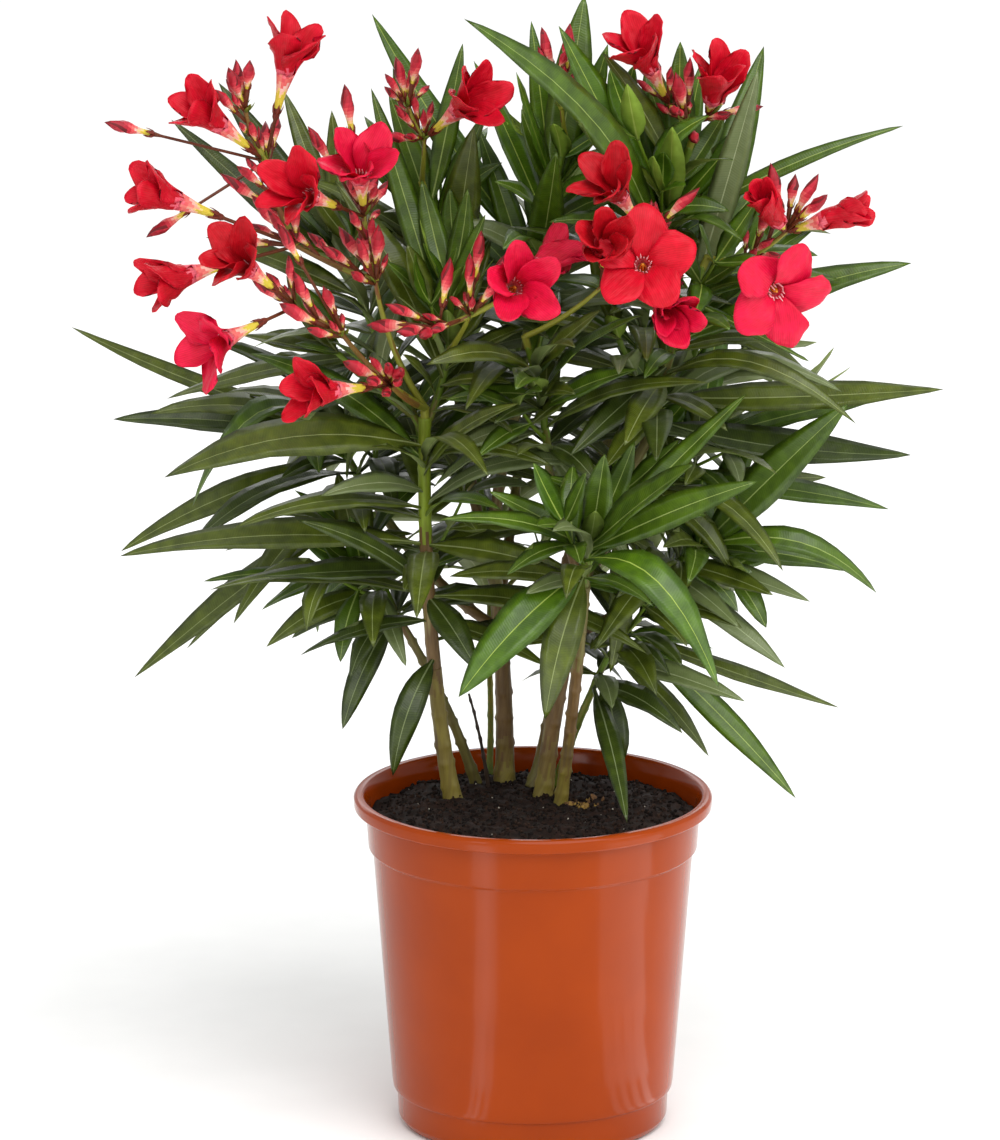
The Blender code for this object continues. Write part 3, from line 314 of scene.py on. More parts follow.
# polypropylene, injection-moulded: even terracotta colour, glossy, a faint waviness from the mould
plastic, tree, shader = newFinish("terracottaPolypropylene", {
    "Base Color": linear(pot["plastic"]), "IOR": 1.49, "Roughness": 0.2,
    "Specular IOR Level": pot["specular"],
})
place = addNode(tree, "TexCoord").outputs["Object"]
tone = patchy(tree, shader, place, (pot["plastic"], pot["plasticDeep"]), 45, 4.0, 0.35)[1]
tree.links.new(tone, shader.inputs["Base Color"])
dust = addNode(tree, "TexNoise", {"Scale": 1 / (2.2 * mm), "Detail": 6.0}, {"Vector": place})
gloss = addNode(tree, "MapRange", {"To Min": pot["gloss"][0], "To Max": pot["gloss"][1]},
                {"Value": dust.outputs["Fac"]})
tree.links.new(gloss.outputs["Result"], shader.inputs["Roughness"])
# the mould's waviness is a few hundredths of a millimetre over 30 mm; grain drawn at 0.6 mm so that it shows
upright = addNode(tree, "Mapping", {"Scale": (1, 1, 0.25)}, {"Vector": place})
waves = addNode(tree, "TexNoise", {"Scale": 1 / (38 * mm), "Detail": 1.0},
                {"Vector": upright.outputs["Vector"]})
wavy = addNode(tree, "Bump", {"Distance": 0.2 * mm, "Strength": 0.35}, {"Height": waves.outputs["Fac"]})
grain = addNode(tree, "TexNoise", {"Scale": 1 / (0.6 * mm), "Detail": 1.0}, {"Vector": place})
grained = addNode(tree, "Bump", {"Distance": 0.01 * mm, "Strength": 0.5},
                  {"Height": grain.outputs["Fac"], "Normal": wavy.outputs["Normal"]})
tree.links.new(grained.outputs["Normal"], shader.inputs["Normal"])
potPiece = finishPiece("plasticPot", shape, [plastic], "pot", "pot")

holes = bmesh.new()
for number in range(pot["drains"]):
    around = 2 * math.pi * (number + 0.5) / pot["drains"]
    made = bmesh.ops.create_cone(holes, cap_ends=True, segments=24, radius1=pot["drainRadius"] * mm,
                                 radius2=pot["drainRadius"] * mm, depth=12 * mm)
    spot = (pot["drainCircle"] * mm * math.cos(around), pot["drainCircle"] * mm * math.sin(around), 0)
    bmesh.ops.translate(holes, verts=made["verts"], vec=spot)
drill = addObject("drainHoles", meshFrom(holes, "drainHoles"))
cut = potPiece.modifiers.new("drains", "BOOLEAN")
cut.operation = "DIFFERENCE"
cut.object = drill
cut.solver = "EXACT"
graph = bpy.context.evaluated_depsgraph_get()
drilled = bpy.data.meshes.new_from_object(potPiece.evaluated_get(graph))
potPiece.modifiers.clear()
potPiece.data = drilled
bpy.data.objects.remove(drill)

# compost: dark peat, crumbly on top, with perlite and fibres
soil = {
    "steps": 150, "rings": 44, "lump": 2.8, "lumpSize": 17.0, "grit": 1.3, "gritSize": 5.0, "sink": 1.8,
    "crumbs": 2800, "crumbSize": (0.25, 1.5), "perlite": 42, "perliteSize": (0.25, 0.7), "litter": 70,
    "litterSize": (0.7, 2.0), "litterSpot": (24, 4), "litterSpread": (5, 3.4),
    "peat": "#100602", "peatPale": "#251107", "crumbShades": ("#120b08", "#22150f", "#352319"),
}
topRadius = collar - wall - gap - 0.25


def soilHeight(x, y):
    # how high the loose surface lies at a spot
    away = math.hypot(x, y)
    spots = (0, compost["plateau"], compost["plateau"] + compost["shoulder"], topRadius)
    top = compost["top"]
    levels = (top, top - compost["dip"], top - compost["drop"], compost["edge"])
    part = 0 if away < spots[1] else 1 if away < spots[2] else 2
    share = (away - spots[part]) / (spots[part + 1] - spots[part])
    level = levels[part] + (levels[part + 1] - levels[part]) * share
    lump = noise.fractal(Vector((x, y, 3.1)) / soil["lumpSize"], 1.0, 2.1, 4) * soil["lump"]
    grit = noise.fractal(Vector((x, y, 9.7)) / soil["gritSize"], 0.9, 2.0, 3) * soil["grit"]
    return level - soil["sink"] + lump + grit


rng = random.Random("compost")
profile = [(topRadius * ring / soil["rings"], compost["top"]) for ring in range(soil["rings"])]
profile += [
    (topRadius, compost["edge"]),
    (collar - wall - 1.2 - gap, pot["collarFoot"] + 0.6),
    (pot["bodyTop"] - wall - gap, pot["collarFoot"] - 2),
    (body - wall - gap, pot["footTop"] + 2.4),
    (foot - wall - gap, pot["footTop"] + 0.2),
    (foot - wall - 1.5 - gap, pot["floor"] + gap),
    (0, pot["floor"] + gap),
]
shape = spun(profile, soil["steps"])
for vert in shape.verts:
    if vert.co.z > (compost["edge"] - 1) * mm:
        vert.co.z = soilHeight(vert.co.x / mm, vert.co.y / mm) * mm
# sieved peat compost, moist: nearly black, rough, a grain of about a millimetre
peat = mottled("moistPeat", soil["peat"], soil["peatPale"], 5.0, (0.82, 1.0), {"Specular IOR Level": 0.3},
               bump=(0.7, 0.5), detail=8.0)
finishPiece("compostBed", shape, [peat], "compost", "compost")

crumb = bmesh.new()
bmesh.ops.create_icosphere(crumb, subdivisions=1, radius=1)
crumbBlank = meshFrom(crumb, "crumb")
crumbRest = [vert.co.copy() for vert in crumbBlank.vertices]


def onSoil(rng, edge=4.0):
    reach = (topRadius - edge) * math.sqrt(rng.random())
    around = rng.uniform(0, 2 * math.pi)
    return reach * math.cos(around), reach * math.sin(around)


def scatter(shape, rng, count, sizes, flatness, spread, finishes):
    # lumps of one rounded shape, each squashed and turned its own way, half sunk in the surface
    for number in range(count):
        x, y = [rng.gauss(*axis) for axis in spread] if spread else onSoil(rng)
        size = rng.uniform(*sizes)
        turn = Euler([rng.uniform(-3, 3) for axis in range(3)])
        stretch = Vector((rng.uniform(0.8, 1.5), rng.uniform(0.6, 1.1), rng.uniform(*flatness)))
        spot = Vector((x, y, soilHeight(x, y) + size * 0.25))
        coords = []
        for rest in crumbRest:
            uneven = rest * (1 + 0.3 * noise.noise(rest * 1.7 + spot))
            moved = spot + turn.to_matrix() @ (uneven * stretch) * size
            coords.extend(moved * mm)
        crumbBlank.vertices.foreach_set("co", coords)
        finish = rng.randrange(finishes)
        crumbBlank.polygons.foreach_set("material_index", [finish] * len(crumbBlank.polygons))
        shape.from_mesh(crumbBlank)


# peat crumbs in three shades, matt
crumbs = [mottled("peatCrumb" + str(k), code, soil["peat"], 1.2, (0.85, 1.0), {"Specular IOR Level": 0.25},
                  bump=(0.4, 0.2)) for k, code in enumerate(soil["crumbShades"])]
# expanded perlite: white, porous, matt
perlite = mottled("perlite", "#cfc9bb", "#a39a88", 0.6, (0.85, 0.95), bump=(0.3, 0.15))
# shed bark and dry bud scales: straw to brown, papery
litter = [mottled("dryScale", "#a8863c", "#7a5a24", 1.5, (0.7, 0.85), bump=(0.5, 0.1)),
          mottled("shedBark", "#6d4a22", "#4b3118", 1.5, (0.75, 0.9), bump=(0.5, 0.1))]
heap = list(zip(soil["litterSpot"], soil["litterSpread"]))
for name, count, sizes, flatness, spread, finishes in (
    ("compostCrumbs", soil["crumbs"], soil["crumbSize"], (0.5, 1.0), None, crumbs),
    ("perliteGrains", soil["perlite"], soil["perliteSize"], (0.6, 1.0), None, [perlite]),
    ("barkLitter", soil["litter"], soil["litterSize"], (0.12, 0.4), heap, litter),
):
    shape = bmesh.new()
    scatter(shape, rng, count, sizes, flatness, spread, len(finishes))
    finishPiece(name, shape, finishes, "compost")


lean = {"twig": 0.35, "sky": 0.45, "light": 0.4, "outline": 0.7}  # what a leaf's upper side turns to


def planned(start, radii, **more):
    # start is a spot on the compost, or what it leaves and at which share of that one's length
    where = {"foot": start} if len(start) == 3 else {"on": start[0], "from": start[1]}
    usual = {"bow": (0, 0, 0), "flare": 0, "forks": 0, "light": lean["light"], "reach": (), "flowers": ()}
    return {**usual, **where, "radii": radii, **more}


# the plant's plan: where every limb, twig, leaf and flower stands
# Bare stems rise from the compost and boughs leave them.
limbs = {
    "stem_left": planned((-43, 14, 175.3), (4.5, 3.8), tip=(-52, 9, 246), bow=(-1, 0, 0), flare=1.1),
    "stem_middle": planned((-15, 50, 175.3), (5, 3.6), tip=(-21, 50, 294), bow=(2, 0, 0), flare=1.4),
    "stem_right": planned((6, 18, 175.3), (4.8, 3.6), tip=(30, 18, 302), bow=(-3, 0, 0), flare=1.4),
    "stem_right_twin": planned((2, 40, 175.3), (4.2, 3.4), tip=(17, 58, 288), bow=(4, 0, 0), flare=1.1),
    "stem_thin": planned((-31, 44, 175.3), (2.8, 2.1), tip=(-70, 34, 264), bow=(2, 0, 2), flare=0.8),
    "stem_front": planned((15, 4, 175.3), (3.2, 2.8), tip=(27, -42, 304), bow=(1, 6, 0), flare=0.9),
    "side_shoot": planned((13, 36, 175.3), (2.4, 2), tip=(32, 32, 228), bow=(-1, 0, 0), flare=0.6),
    "green_sucker": planned((-23, 66, 175.3), (1.7, 1.5), tip=(-24, 88, 241), bow=(1, 0, 0), flare=0.4),
    "dry_twig": planned((-24, 36, 175.3), (1, 0.6), tip=(-34, 30, 226), bow=(1, 0, 0), flare=0.2),
    "bough_top_middle": planned(("stem_middle", 1), (3.2, 2.8), tip=(-6, 47, 384), bow=(-4, 0, 0)),
    "bough_top_left": planned(("stem_middle", 0.88), (3, 2.6), tip=(-40, 62, 390), bow=(-3, 2, 0)),
    "bough_left_rear": planned(("stem_middle", 0.68), (3, 2.5), tip=(-84, 82, 318), bow=(-2, 0, -6)),
    "bough_back_middle": planned(("stem_middle", 0.78), (2.9, 2.5), tip=(-6, 106, 345), bow=(0, 4, -6)),
    "bough_top_right": planned(("stem_right_twin", 1), (3, 2.6), tip=(54, 42, 396), bow=(-2, 3, 0)),
    "bough_back_right": planned(("stem_right_twin", 0.8), (2.8, 2.4), tip=(60, 100, 328), bow=(0, 3, -5)),
    "bough_right": planned(("stem_right", 1), (3.1, 2.7), tip=(64, 12, 376), bow=(-2, 0, 0)),
    "bough_centre": planned(("stem_right", 0.88), (2.8, 2.4), tip=(8, 0, 356), bow=(0, -2, 0)),
    "bough_right_low": planned(("stem_right", 0.68), (2.7, 2.3), tip=(62, 34, 288), bow=(2, 0, -4)),
}
# Leafy masses, each one stem with whorls of three leaves up it.
# leaf: longest leaf, top: share of it at the tip, rise: degrees above level at the foot and at the tip,
# first: bearing of the first leaf, forks: side twigs,
# reach: the leaves that make the outline: share up the stem, where it ends, how far it arches, how broad
masses = {
    "leaves_left": planned(
        ("stem_left", 1), (3.7, 3.3), tip=(-56.8, 0, 384), bow=(-2, -1, 0), whorls=6, leaf=132,
        top=0.8, rise=(-14, 34), first=40,
        reach=((0.88, (-193, -24, 362), 0.15, 1.5), (0.06, (-74, -14, 193), 0.26, 1.05),
            (0.5, (-218, 4, 309), 0.09, 1.05), (0.4, (-143, -28, 304), 0.04, 1.1),
            (0.5, (25, -34, 306), 0.08, 1), (0.84, (10, -22, 363), 0.2, 0.8),
            (0.7, (-111, -36, 353), 0.12, 1), (0.3, (-29, -34, 257), 0.1, 1.2),
            (0.3, (-123, -44, 340), 0.1, 0.9), (0.75, (-7, -34, 401), 0.1, 0.8))),
    "left_low": planned(
        ("stem_thin", 1), (2, 1.6), tip=(-90, 30, 293), bow=(0, 0, 2), whorls=3, forks=1, leaf=84, top=0.8,
        rise=(-20, 30), first=75,
        reach=((0.2, (-101, 20, 209), 0.1, 1), (0.5, (-141, 8, 261), 0.16, 1),
            (0.4, (-128, 30, 258), 0.14, 0.8), (0.8, (-175, 40, 290), 0.04, 0.6),
            (0.6, (-67, -2, 250), 0.1, 0.8))),
    "left_rear": planned(
        ("bough_left_rear", 1), (2.4, 1.8), tip=(-109, 95, 363), bow=(-2, 0, 0), whorls=5, forks=1,
        leaf=118, top=0.85, rise=(-20, 34), first=10,
        reach=((0.85, (-245, 70, 417), -0.04, 0.55), (0.75, (-224, 84, 364), 0.05, 0.95),
            (0.5, (-220, 70, 296), 0.06, 0.9), (0.1, (-213, 60, 229), 0.03, 0.9),
            (0.2, (-186, 90, 237), 0.03, 0.6), (0.8, (-181, 56, 326), 0.5, 1.1),
            (0.3, (-159, 36, 262), 0.1, 1))),
    "left_upper": planned(
        ("leaves_left", 0.93), (2.3, 1.7), tip=(-99, 52, 456), bow=(0, 3, -4), whorls=4, forks=1, leaf=90,
        top=0.75, rise=(0, 62), first=30,
        reach=((0.9, (-190, 44, 537), 0, 0.7), (0.95, (-106, 60, 536), 0, 0.9),
            (0.8, (-173, 66, 467), 0.05, 0.9), (0.5, (-194, 50, 384), 0.05, 0.9),
            (0.85, (-166, 76, 549), 0, 0.9), (0.97, (-132, 86, 542), 0, 0.8))),
    "left_crest": planned(
        ("leaves_left", 0.95), (2.1, 1.6), tip=(-44, 8, 448), bow=(5, 4, 0), whorls=4, leaf=74,
        top=0.8, rise=(20, 72), first=55,
        reach=((0.35, (-104, 24, 506), 0.12, 1.1), (0.6, (-85, 40, 552), 0, 0.8),
            (0.9, (-25, 4, 492), 0, 0.8), (0.3, (-11, -24, 408), 0.1, 0.9))),
    "top_left": planned(
        ("bough_top_left", 1), (2.5, 1.8), tip=(-57, 52, 494), bow=(4, 0, 0), whorls=6, leaf=112,
        top=0.7, rise=(4, 68), first=0,
        reach=((0.7, (-74, 80, 555), 0, 0.8), (0.9, (-37, 74, 569), 0, 0.8),
            (0.7, (-76, 70, 543), 0, 0.9), (0.4, (-31, 30, 534), 0.03, 1.3), (0.5, (4, 34, 439), 0.1, 1))),
    "top_middle": planned(
        ("bough_top_middle", 1), (2.7, 1.9), tip=(16, 34, 521), bow=(-3, 0, 0), whorls=7, leaf=118,
        top=0.75, rise=(4, 72), first=35,
        reach=((0.55, (-85, 84, 585), -0.06, 0.8), (0.8, (27, 44, 602), 0.03, 1.3),
            (0.8, (-1, 60, 584), 0, 0.8), (0.7, (44, -10, 519), 0.1, 0.9),
            (0.35, (12, -20, 531), -0.06, 1.1), (0.4, (-29, 64, 526), 0.05, 0.9))),
    "top_right": planned(
        ("bough_top_right", 1), (2.5, 1.9), tip=(82, 28, 523), bow=(-3, 0, 0), whorls=7, leaf=108,
        top=0.78, rise=(4, 72), first=15,
        reach=((0.5, (-36, -50, 608), 0.12, 1), (0.62, (13, 10, 592), 0.02, 1.1),
            (0.72, (61, 6, 580), 0.05, 1.5), (0.85, (77, 44, 576), 0, 1.1),
            (0.62, (194, 34, 534), 0.08, 0.5), (0.6, (89, 60, 563), 0, 0.9))),
    "right": planned(
        ("bough_right", 1), (2.6, 1.9), tip=(89, 6, 464), bow=(-3, 0, 0), whorls=5, forks=1, leaf=112,
        top=0.85, rise=(0, 56), first=25,
        reach=((0.93, (122, 34, 579), -0.06, 1.1), (0.8, (117, 6, 569), -0.05, 0.9),
            (0.5, (198, 10, 467), 0.07, 1.05), (0.2, (215, 0, 406), -0.06, 1),
            (0.3, (168, -40, 395), 0.26, 0.75), (0.06, (199, 10, 365), -0.08, 1.2),
            (0.8, (144, -10, 417), 0, 0.5), (0.4, (19, -34, 373), 0.05, 1.1),
            (0.15, (37, -40, 366), 0.05, 1), (0.3, (47, -50, 385), 0.05, 1.1))),
    "right_mid": planned(
        ("bough_right", 0.3), (2.3, 1.8), tip=(88, 44, 361), bow=(0, 0, -3), whorls=4, forks=1, leaf=112,
        top=0.9, rise=(-16, 40), first=5,
        reach=((0.6, (189, 40, 329), 0.03, 0.9), (0.9, (108, 24, 389), 0, 1),
            (0.5, (156, 60, 340), 0, 0.9), (0.2, (98, 30, 332), 0.1, 0.9))),
    "right_low": planned(
        ("bough_right_low", 1), (2.2, 1.7), tip=(88, 26, 307), whorls=4, leaf=104,
        top=0.9, rise=(-22, 30), first=50,
        reach=((0.9, (165, -6, 395), 0.05, 1.3), (0.95, (182, 14, 285), 0.34, 0.9),
            (0.85, (166, 30, 295), 0.1, 1.1), (0.6, (146, 0, 287), 0.03, 0.9),
            (0.5, (126, -20, 292), 0.05, 0.9), (0.2, (133, 0, 250), 0.03, 0.9),
            (0.3, (108, -20, 278), 0.05, 0.9))),
    "front_low": planned(
        ("stem_front", 1), (2.7, 1.9), tip=(29, -44, 326), bow=(-1, 0, 0), whorls=3, leaf=84,
        top=0.7, rise=(-10, 66), first=62,
        reach=((0.6, (96, -92, 264), 0.44, 1.35), (0.45, (-39, -86, 258), 0.12, 1.6),
            (0.35, (6, -70, 239), 0.26, 1.3), (0.1, (23, -58, 205), 0.2, 1.1),
            (0.85, (-49, -84, 352), 0.12, 0.8), (0.9, (-23, -62, 359), 0.04, 1),
            (0.93, (37, -52, 377), 0, 1.2), (0.75, (111, -40, 407), 0, 0.8),
            (0.8, (116, -62, 365), 0.04, 1.1), (0.85, (82, -84, 380), 0.02, 1.5))),
    "centre": planned(
        ("bough_centre", 1), (2.3, 1.8), tip=(-3, -10, 425), bow=(2, 0, 0), whorls=5, leaf=98,
        top=0.85, rise=(-4, 56), first=12,
        reach=((0.5, (54, -44, 420), 0.05, 1), (0.6, (-46, -40, 404), 0.08, 1),
            (0.8, (35, -34, 450), 0.05, 1), (0.2, (51, -14, 310), 0.08, 1))),
    "right_foot": planned(
        ("side_shoot", 1), (1.9, 1.5), tip=(57, 30, 268), bow=(-2, 0, 2), whorls=4, leaf=84,
        top=0.9, rise=(-24, 20), first=30,
        reach=((0.06, (79, -6, 217), 0.14, 1.15), (0.06, (49, -52, 178), 0.06, 0.7),
            (0.25, (41, -8, 188), 0.3, 1.1), (0.8, (140, 20, 172), 0.04, 0.85),
            (0.75, (163, 30, 218), 0, 0.7), (0.4, (112, -4, 231), 0.05, 0.9),
            (0.5, (94, 40, 190), 0.06, 0.8), (0.5, (65, -22, 239), 0.2, 1.2))),
    "back_left": planned(
        ("green_sucker", 1), (1.5, 1.4), tip=(-58, 136, 418), bow=(12, 10, -6), whorls=5, forks=1, leaf=112,
        top=0.8, rise=(-6, 60), first=20, light=-0.3),
    "back_middle": planned(
        ("bough_back_middle", 1), (2.4, 1.8), tip=(8, 132, 486), bow=(4, 6, 0), whorls=5, forks=1, leaf=112,
        top=0.8, rise=(-6, 68), first=0, light=-0.3),
    "back_right": planned(
        ("bough_back_right", 1), (2.3, 1.8), tip=(96, 128, 430), bow=(4, 4, -4), whorls=5, forks=1,
        leaf=112, top=0.8, rise=(-8, 62), first=40, light=-0.3),
}
# Flower heads. hubs: where the stalk branches, each with the hub it leaves (-1 is the foot);
# flowers: hub, middle of the petals, how far open; buds: hub, tip
heads = {
    "flowers_left": planned(
        ("leaves_left", 1), (2.4, 1.3),
        hubs=((-1, (-82, -22, 462)), (0, (-88, -16, 495)), (0, (-123, -22, 481)), (2, (-139, -14, 524)),
            (3, (-149, -16, 550)), (-1, (-99, -44, 439)), (5, (-123, -50, 455)), (-1, (-74, -50, 413))),
        flowers=((3, (-126, -22, 583), 0.35), (3, (-169, -32, 553), 0.3), (2, (-193, -44, 513), 0.35),
            (2, (-187, -52, 470), 0.3), (6, (-151, -82, 486), 0.5), (6, (-164, -84, 443), 0.6),
            (7, (-111, -84, 418), 0.35), (1, (-120, -58, 517), 0.5), (1, (-90, -40, 526), 0.6)),
        buds=((3, (-222, -30, 548)), (4, (-158, -20, 575)), (3, (-201, -30, 487)), (1, (-98, -14, 565)),
            (1, (-117, -20, 544)), (4, (-155, -6, 574)), (5, (-132, -64, 502)), (7, (-68, -70, 427)))),
    "flowers_middle": planned(
        ("left_crest", 0.55), (2, 1.2),
        hubs=((-1, (-33, -36, 447)), (0, (-15, -38, 458)), (0, (-49, -40, 442))),
        flowers=((1, (-8, -72, 471), 0.55), (1, (9, -24, 475), 0.35)),
        buds=((0, (-27, -30, 491)), (2, (-43, -40, 479)), (2, (-59, -60, 441)), (0, (-33, -44, 482)))),
    "flowers_top_left": planned(
        ("top_left", 1), (1.9, 1.1), flowers=((0, (-34, 14, 550), 0.45),),
        hubs=((-1, (-57, 38, 525)), (0, (-65, 34, 542))),
        buds=((1, (-72, 34, 570)), (1, (-62, 30, 567)), (0, (-79, 20, 530)))),
    "flowers_top_middle": planned(
        ("top_middle", 1), (1.8, 1.1),
        hubs=((-1, (15, 28, 543)), (0, (12, 26, 556))),
        buds=((0, (19, 22, 590)), (1, (6, 18, 571)), (1, (11, 4, 556)))),
    "flowers_top_right": planned(
        ("top_right", 1), (1.9, 1.1),
        hubs=((-1, (81, 26, 535)), (0, (71, 30, 545)), (0, (91, 30, 539))),
        flowers=((1, (57, 16, 575), 0.4), (2, (96, 20, 559), 0.3)),
        buds=((0, (85, 4, 530)), (1, (75, 0, 546)), (2, (108, 24, 569)))),
    "flowers_centre": planned(
        ("centre", 1), (2, 1.2), buds=((1, (63, -40, 507)),),
        hubs=((-1, (35, -26, 460)), (0, (59, -26, 487)), (0, (56, -30, 461))),
        flowers=((1, (41, -52, 519), 0.55), (2, (56, -76, 484), 0.85), (0, (37, -80, 495), 0.35),
            (2, (70, -64, 456), 0.3))),
    "flowers_right": planned(
        ("right", 1), (2, 1.2),
        hubs=((-1, (110, -10, 471)), (0, (131, -16, 487))),
        flowers=((0, (126, -58, 464), 1), (1, (122, -30, 503), 0), (1, (161, -24, 498), 0)),
        buds=((1, (123, -12, 523)), (1, (152, -40, 512)))),
}
# Seeded leaves end inside this egg
crown = {"middle": (-12.0, 34.0, 398.0), "reach": (204.0, 176.0, 184.0)}
# width: across the middle, and widen: how much of the length is added to it; thick: share of the length;
# sunk: share of the twig's radius by which the root passes the axis; turn, tilt, twist: seeded degrees
leaf = {
    "width": 10.5, "widen": 0.06, "petiole": 1.3, "thick": 0.0125, "thinnest": 0.9, "sunk": 0.6,
    "arch": 0.12, "turn": 14, "tilt": 8, "twist": 24, "sizes": (0.86, 1.08), "arches": (0.6, 1.5),
}
room = {"leaf": 1.4 * gap, "sister": gap}  # how much a shape swells before it is tried
# A flower: its stalk, its funnel, and petals that turn outward by so many degrees from closed to open
bloom = {
    "petal": 27.0, "broad": 0.86, "blunt": 0.75, "thick": 0.8, "lap": 0.3, "throat": 4.6,
    "closed": 10, "opens": 68, "clear": 90.0, "view": 15.0,
}
funnel = {0.0: (0.0, 1.1), 0.3: (-20.0, 1.9), 0.6: (-9.0, 2.7), 0.93: (-1.6, 4.2), 1.0: (0.0, 4.6)}
petalStations = (0.58, 1.0)
bud = {"radius": 3.1, "stalk": 0.9}
fork = {"first": 0.12, "next": 0.26, "length": 0.5, "shortest": 42, "out": 0.62, "along": 0.78, "tries": 8}
leafRings = (0.07, 0.4, 0.72)  # of the leaves that make the outline
shortRings = (0.07, 0.46)  # of the rest
outerRings = (0.2, 0.46, 0.75)  # of the stretch that keeps clear of sister leaves
bloomRings = (0.3, 0.6, 0.93)
# Turned, raised and shortened in turn until a seeded leaf has room
dodges = (
    (0, 0, 1.0), (16, 6, 1.0), (-16, -6, 1.0), (28, -14, 0.9), (-28, 14, 0.9), (8, 24, 0.8), (-8, -24, 0.75),
)
depths = (0, 8, -8, 17, -17, 27, -27, 38, -38, 51, -51, 66)  # tried in turn along the line of sight


def unitRod(sides, rings, top=1):
    # a rod or cone along Z from 0 to 1, cut into rings
    made = bmesh.new()
    bmesh.ops.create_cone(made, cap_ends=True, segments=sides, radius1=1, radius2=top, depth=1)
    bmesh.ops.translate(made, verts=made.verts, vec=(0, 0, 0.5))
    for height in rings:
        everything = made.verts[:] + made.edges[:] + made.faces[:]
        bmesh.ops.bisect_plane(made, geom=everything, plane_co=(0, 0, height), plane_no=up, dist=1e-6)
    return made


# Such a shape as ((corner, height), ...) and its triangles. A rooted one also comes to a point at its foot.
def blank(sides, rings, pointed, rooted=False):
    made = unitRod(sides, rings, 0 if pointed else 1)
    if rooted:
        foot = [vert for vert in made.verts if vert.co.z < 0.001]
        bmesh.ops.pointmerge(made, verts=foot, merge_co=(0, 0, 0))
    bmesh.ops.remove_doubles(made, verts=made.verts, dist=1e-5)
    bmesh.ops.triangulate(made, faces=made.faces)
    bmesh.ops.recalc_face_normals(made, faces=made.faces)
    made.verts.index_update()
    corners = [(math.atan2(vert.co.y, vert.co.x), min(1.0, max(0.0, vert.co.z))) for vert in made.verts]
    faces = [tuple(vert.index for vert in face.verts) for face in made.faces]
    made.free()
    return corners, faces


# A five-sided tube whose topmost side faces are drawn out twice as petals: labels and triangles.
def bloomShape():
    made = unitRod(5, bloomRings)
    labels = {}
    for vert in made.verts:
        labels[vert] = ("tube", math.atan2(vert.co.y, vert.co.x), vert.co.z)
    top = bloomRings[-1]
    roots = [face for face in made.faces if face.calc_center_median().z > top and abs(face.normal.z) < 0.5]
    for root in roots:
        centre = root.calc_center_median()
        around = math.atan2(centre.y, centre.x)
        face = root
        for station in (1, 2):
            before = list(face.verts)
            drawn = bmesh.ops.extrude_discrete_faces(made, faces=[face])["faces"][0]
            for old, new in zip(before, drawn.verts):
                if station == 1:
                    margin = 1 if math.sin(labels[old][1] - around) > 0 else -1
                    level = 1 if labels[old][2] > 0.999 else 0
                else:
                    margin, level = labels[old][3:]
                labels[new] = ("petal", around, station, margin, level)
            face = drawn
    bmesh.ops.triangulate(made, faces=made.faces)
    made.verts.index_update()
    named = [labels[vert] for vert in made.verts]
    faces = [tuple(vert.index for vert in face.verts) for face in made.faces]
    made.free()
    return named, faces


leafBlank = blank(3, leafRings, True, True)
shortBlank = blank(3, shortRings, True, True)
outerBlank = blank(3, outerRings, True, True)
limbBlank = blank(6, (0.06, 0.3, 0.65), False)
stemBlank = blank(5, (0.12, 0.4, 0.7), False)
twigBlank = blank(4, (0.5,), False)
stalkBlank = blank(4, (), False)
bloomBlank = bloomShape()
budBlank = blank(4, (0.5, 0.76), True)
firstEdge = next(angle for angle, height in leafBlank[0] if 0.001 < height < 0.999)


# Which of a leaf's three long edges: 0 and 1 the margins, 2 the keel.
def sideOf(angle):
    return round((angle - firstEdge) / (2 * math.pi / 3)) % 3


def lineOf(foot, tip, bow=(0, 0, 0)):
    return {"foot": Vector(foot), "run": Vector(tip) - Vector(foot), "bow": Vector(bow)}


def pointOn(line, share):
    return line["foot"] + line["run"] * share + line["bow"] * (4 * share * (1 - share))


def headingOn(line, share):
    return (line["run"] + line["bow"] * (4 - 8 * share)).normalized()


def acrossTo(heading, hint):
    across = hint.cross(heading)
    if across.length < 0.1:
        across = Vector((1, 0.2, 0)).cross(heading)
    return across.normalized()


def swung(side, other, angle):
    return side * math.cos(angle) + other * math.sin(angle)


# Two directions square to an axis and to each other.
def roundAxis(axis, hint=Vector((0, 1, 0))):
    side = acrossTo(axis, hint)
    return side, axis.cross(side)


def startOn(plan, back=2):
    host = lines[plan["on"]]
    return pointOn(host, plan["from"]) - headingOn(host, 1) * (back if plan["from"] == 1 else 0)


# A round rod along a line, its foot cut level if asked; swell makes it bigger all round.
def rod(line, radiusAt, shape, swell=0.0, level=None):
    length = line["run"].length
    points = []
    for angle, height in shape[0]:
        share = height + (height - 0.5) * 2 * swell / length
        heading = headingOn(line, min(1, max(0, share)))
        across = acrossTo(heading, up if abs(heading.z) < 0.8 else Vector((0, 1, 0)))
        radius = radiusAt(height) + swell
        point = pointOn(line, share) + swung(across, heading.cross(across), angle) * radius
        if level is not None and height < 0.001:
            point.z = level
        points.append(point)
    return points, shape[1]


def taper(radii, length=1.0, flare=0.0):
    def radiusAt(share):
        return radii[0] + (radii[1] - radii[0]) * share + flare * math.exp(-share * length / 6)

    return radiusAt


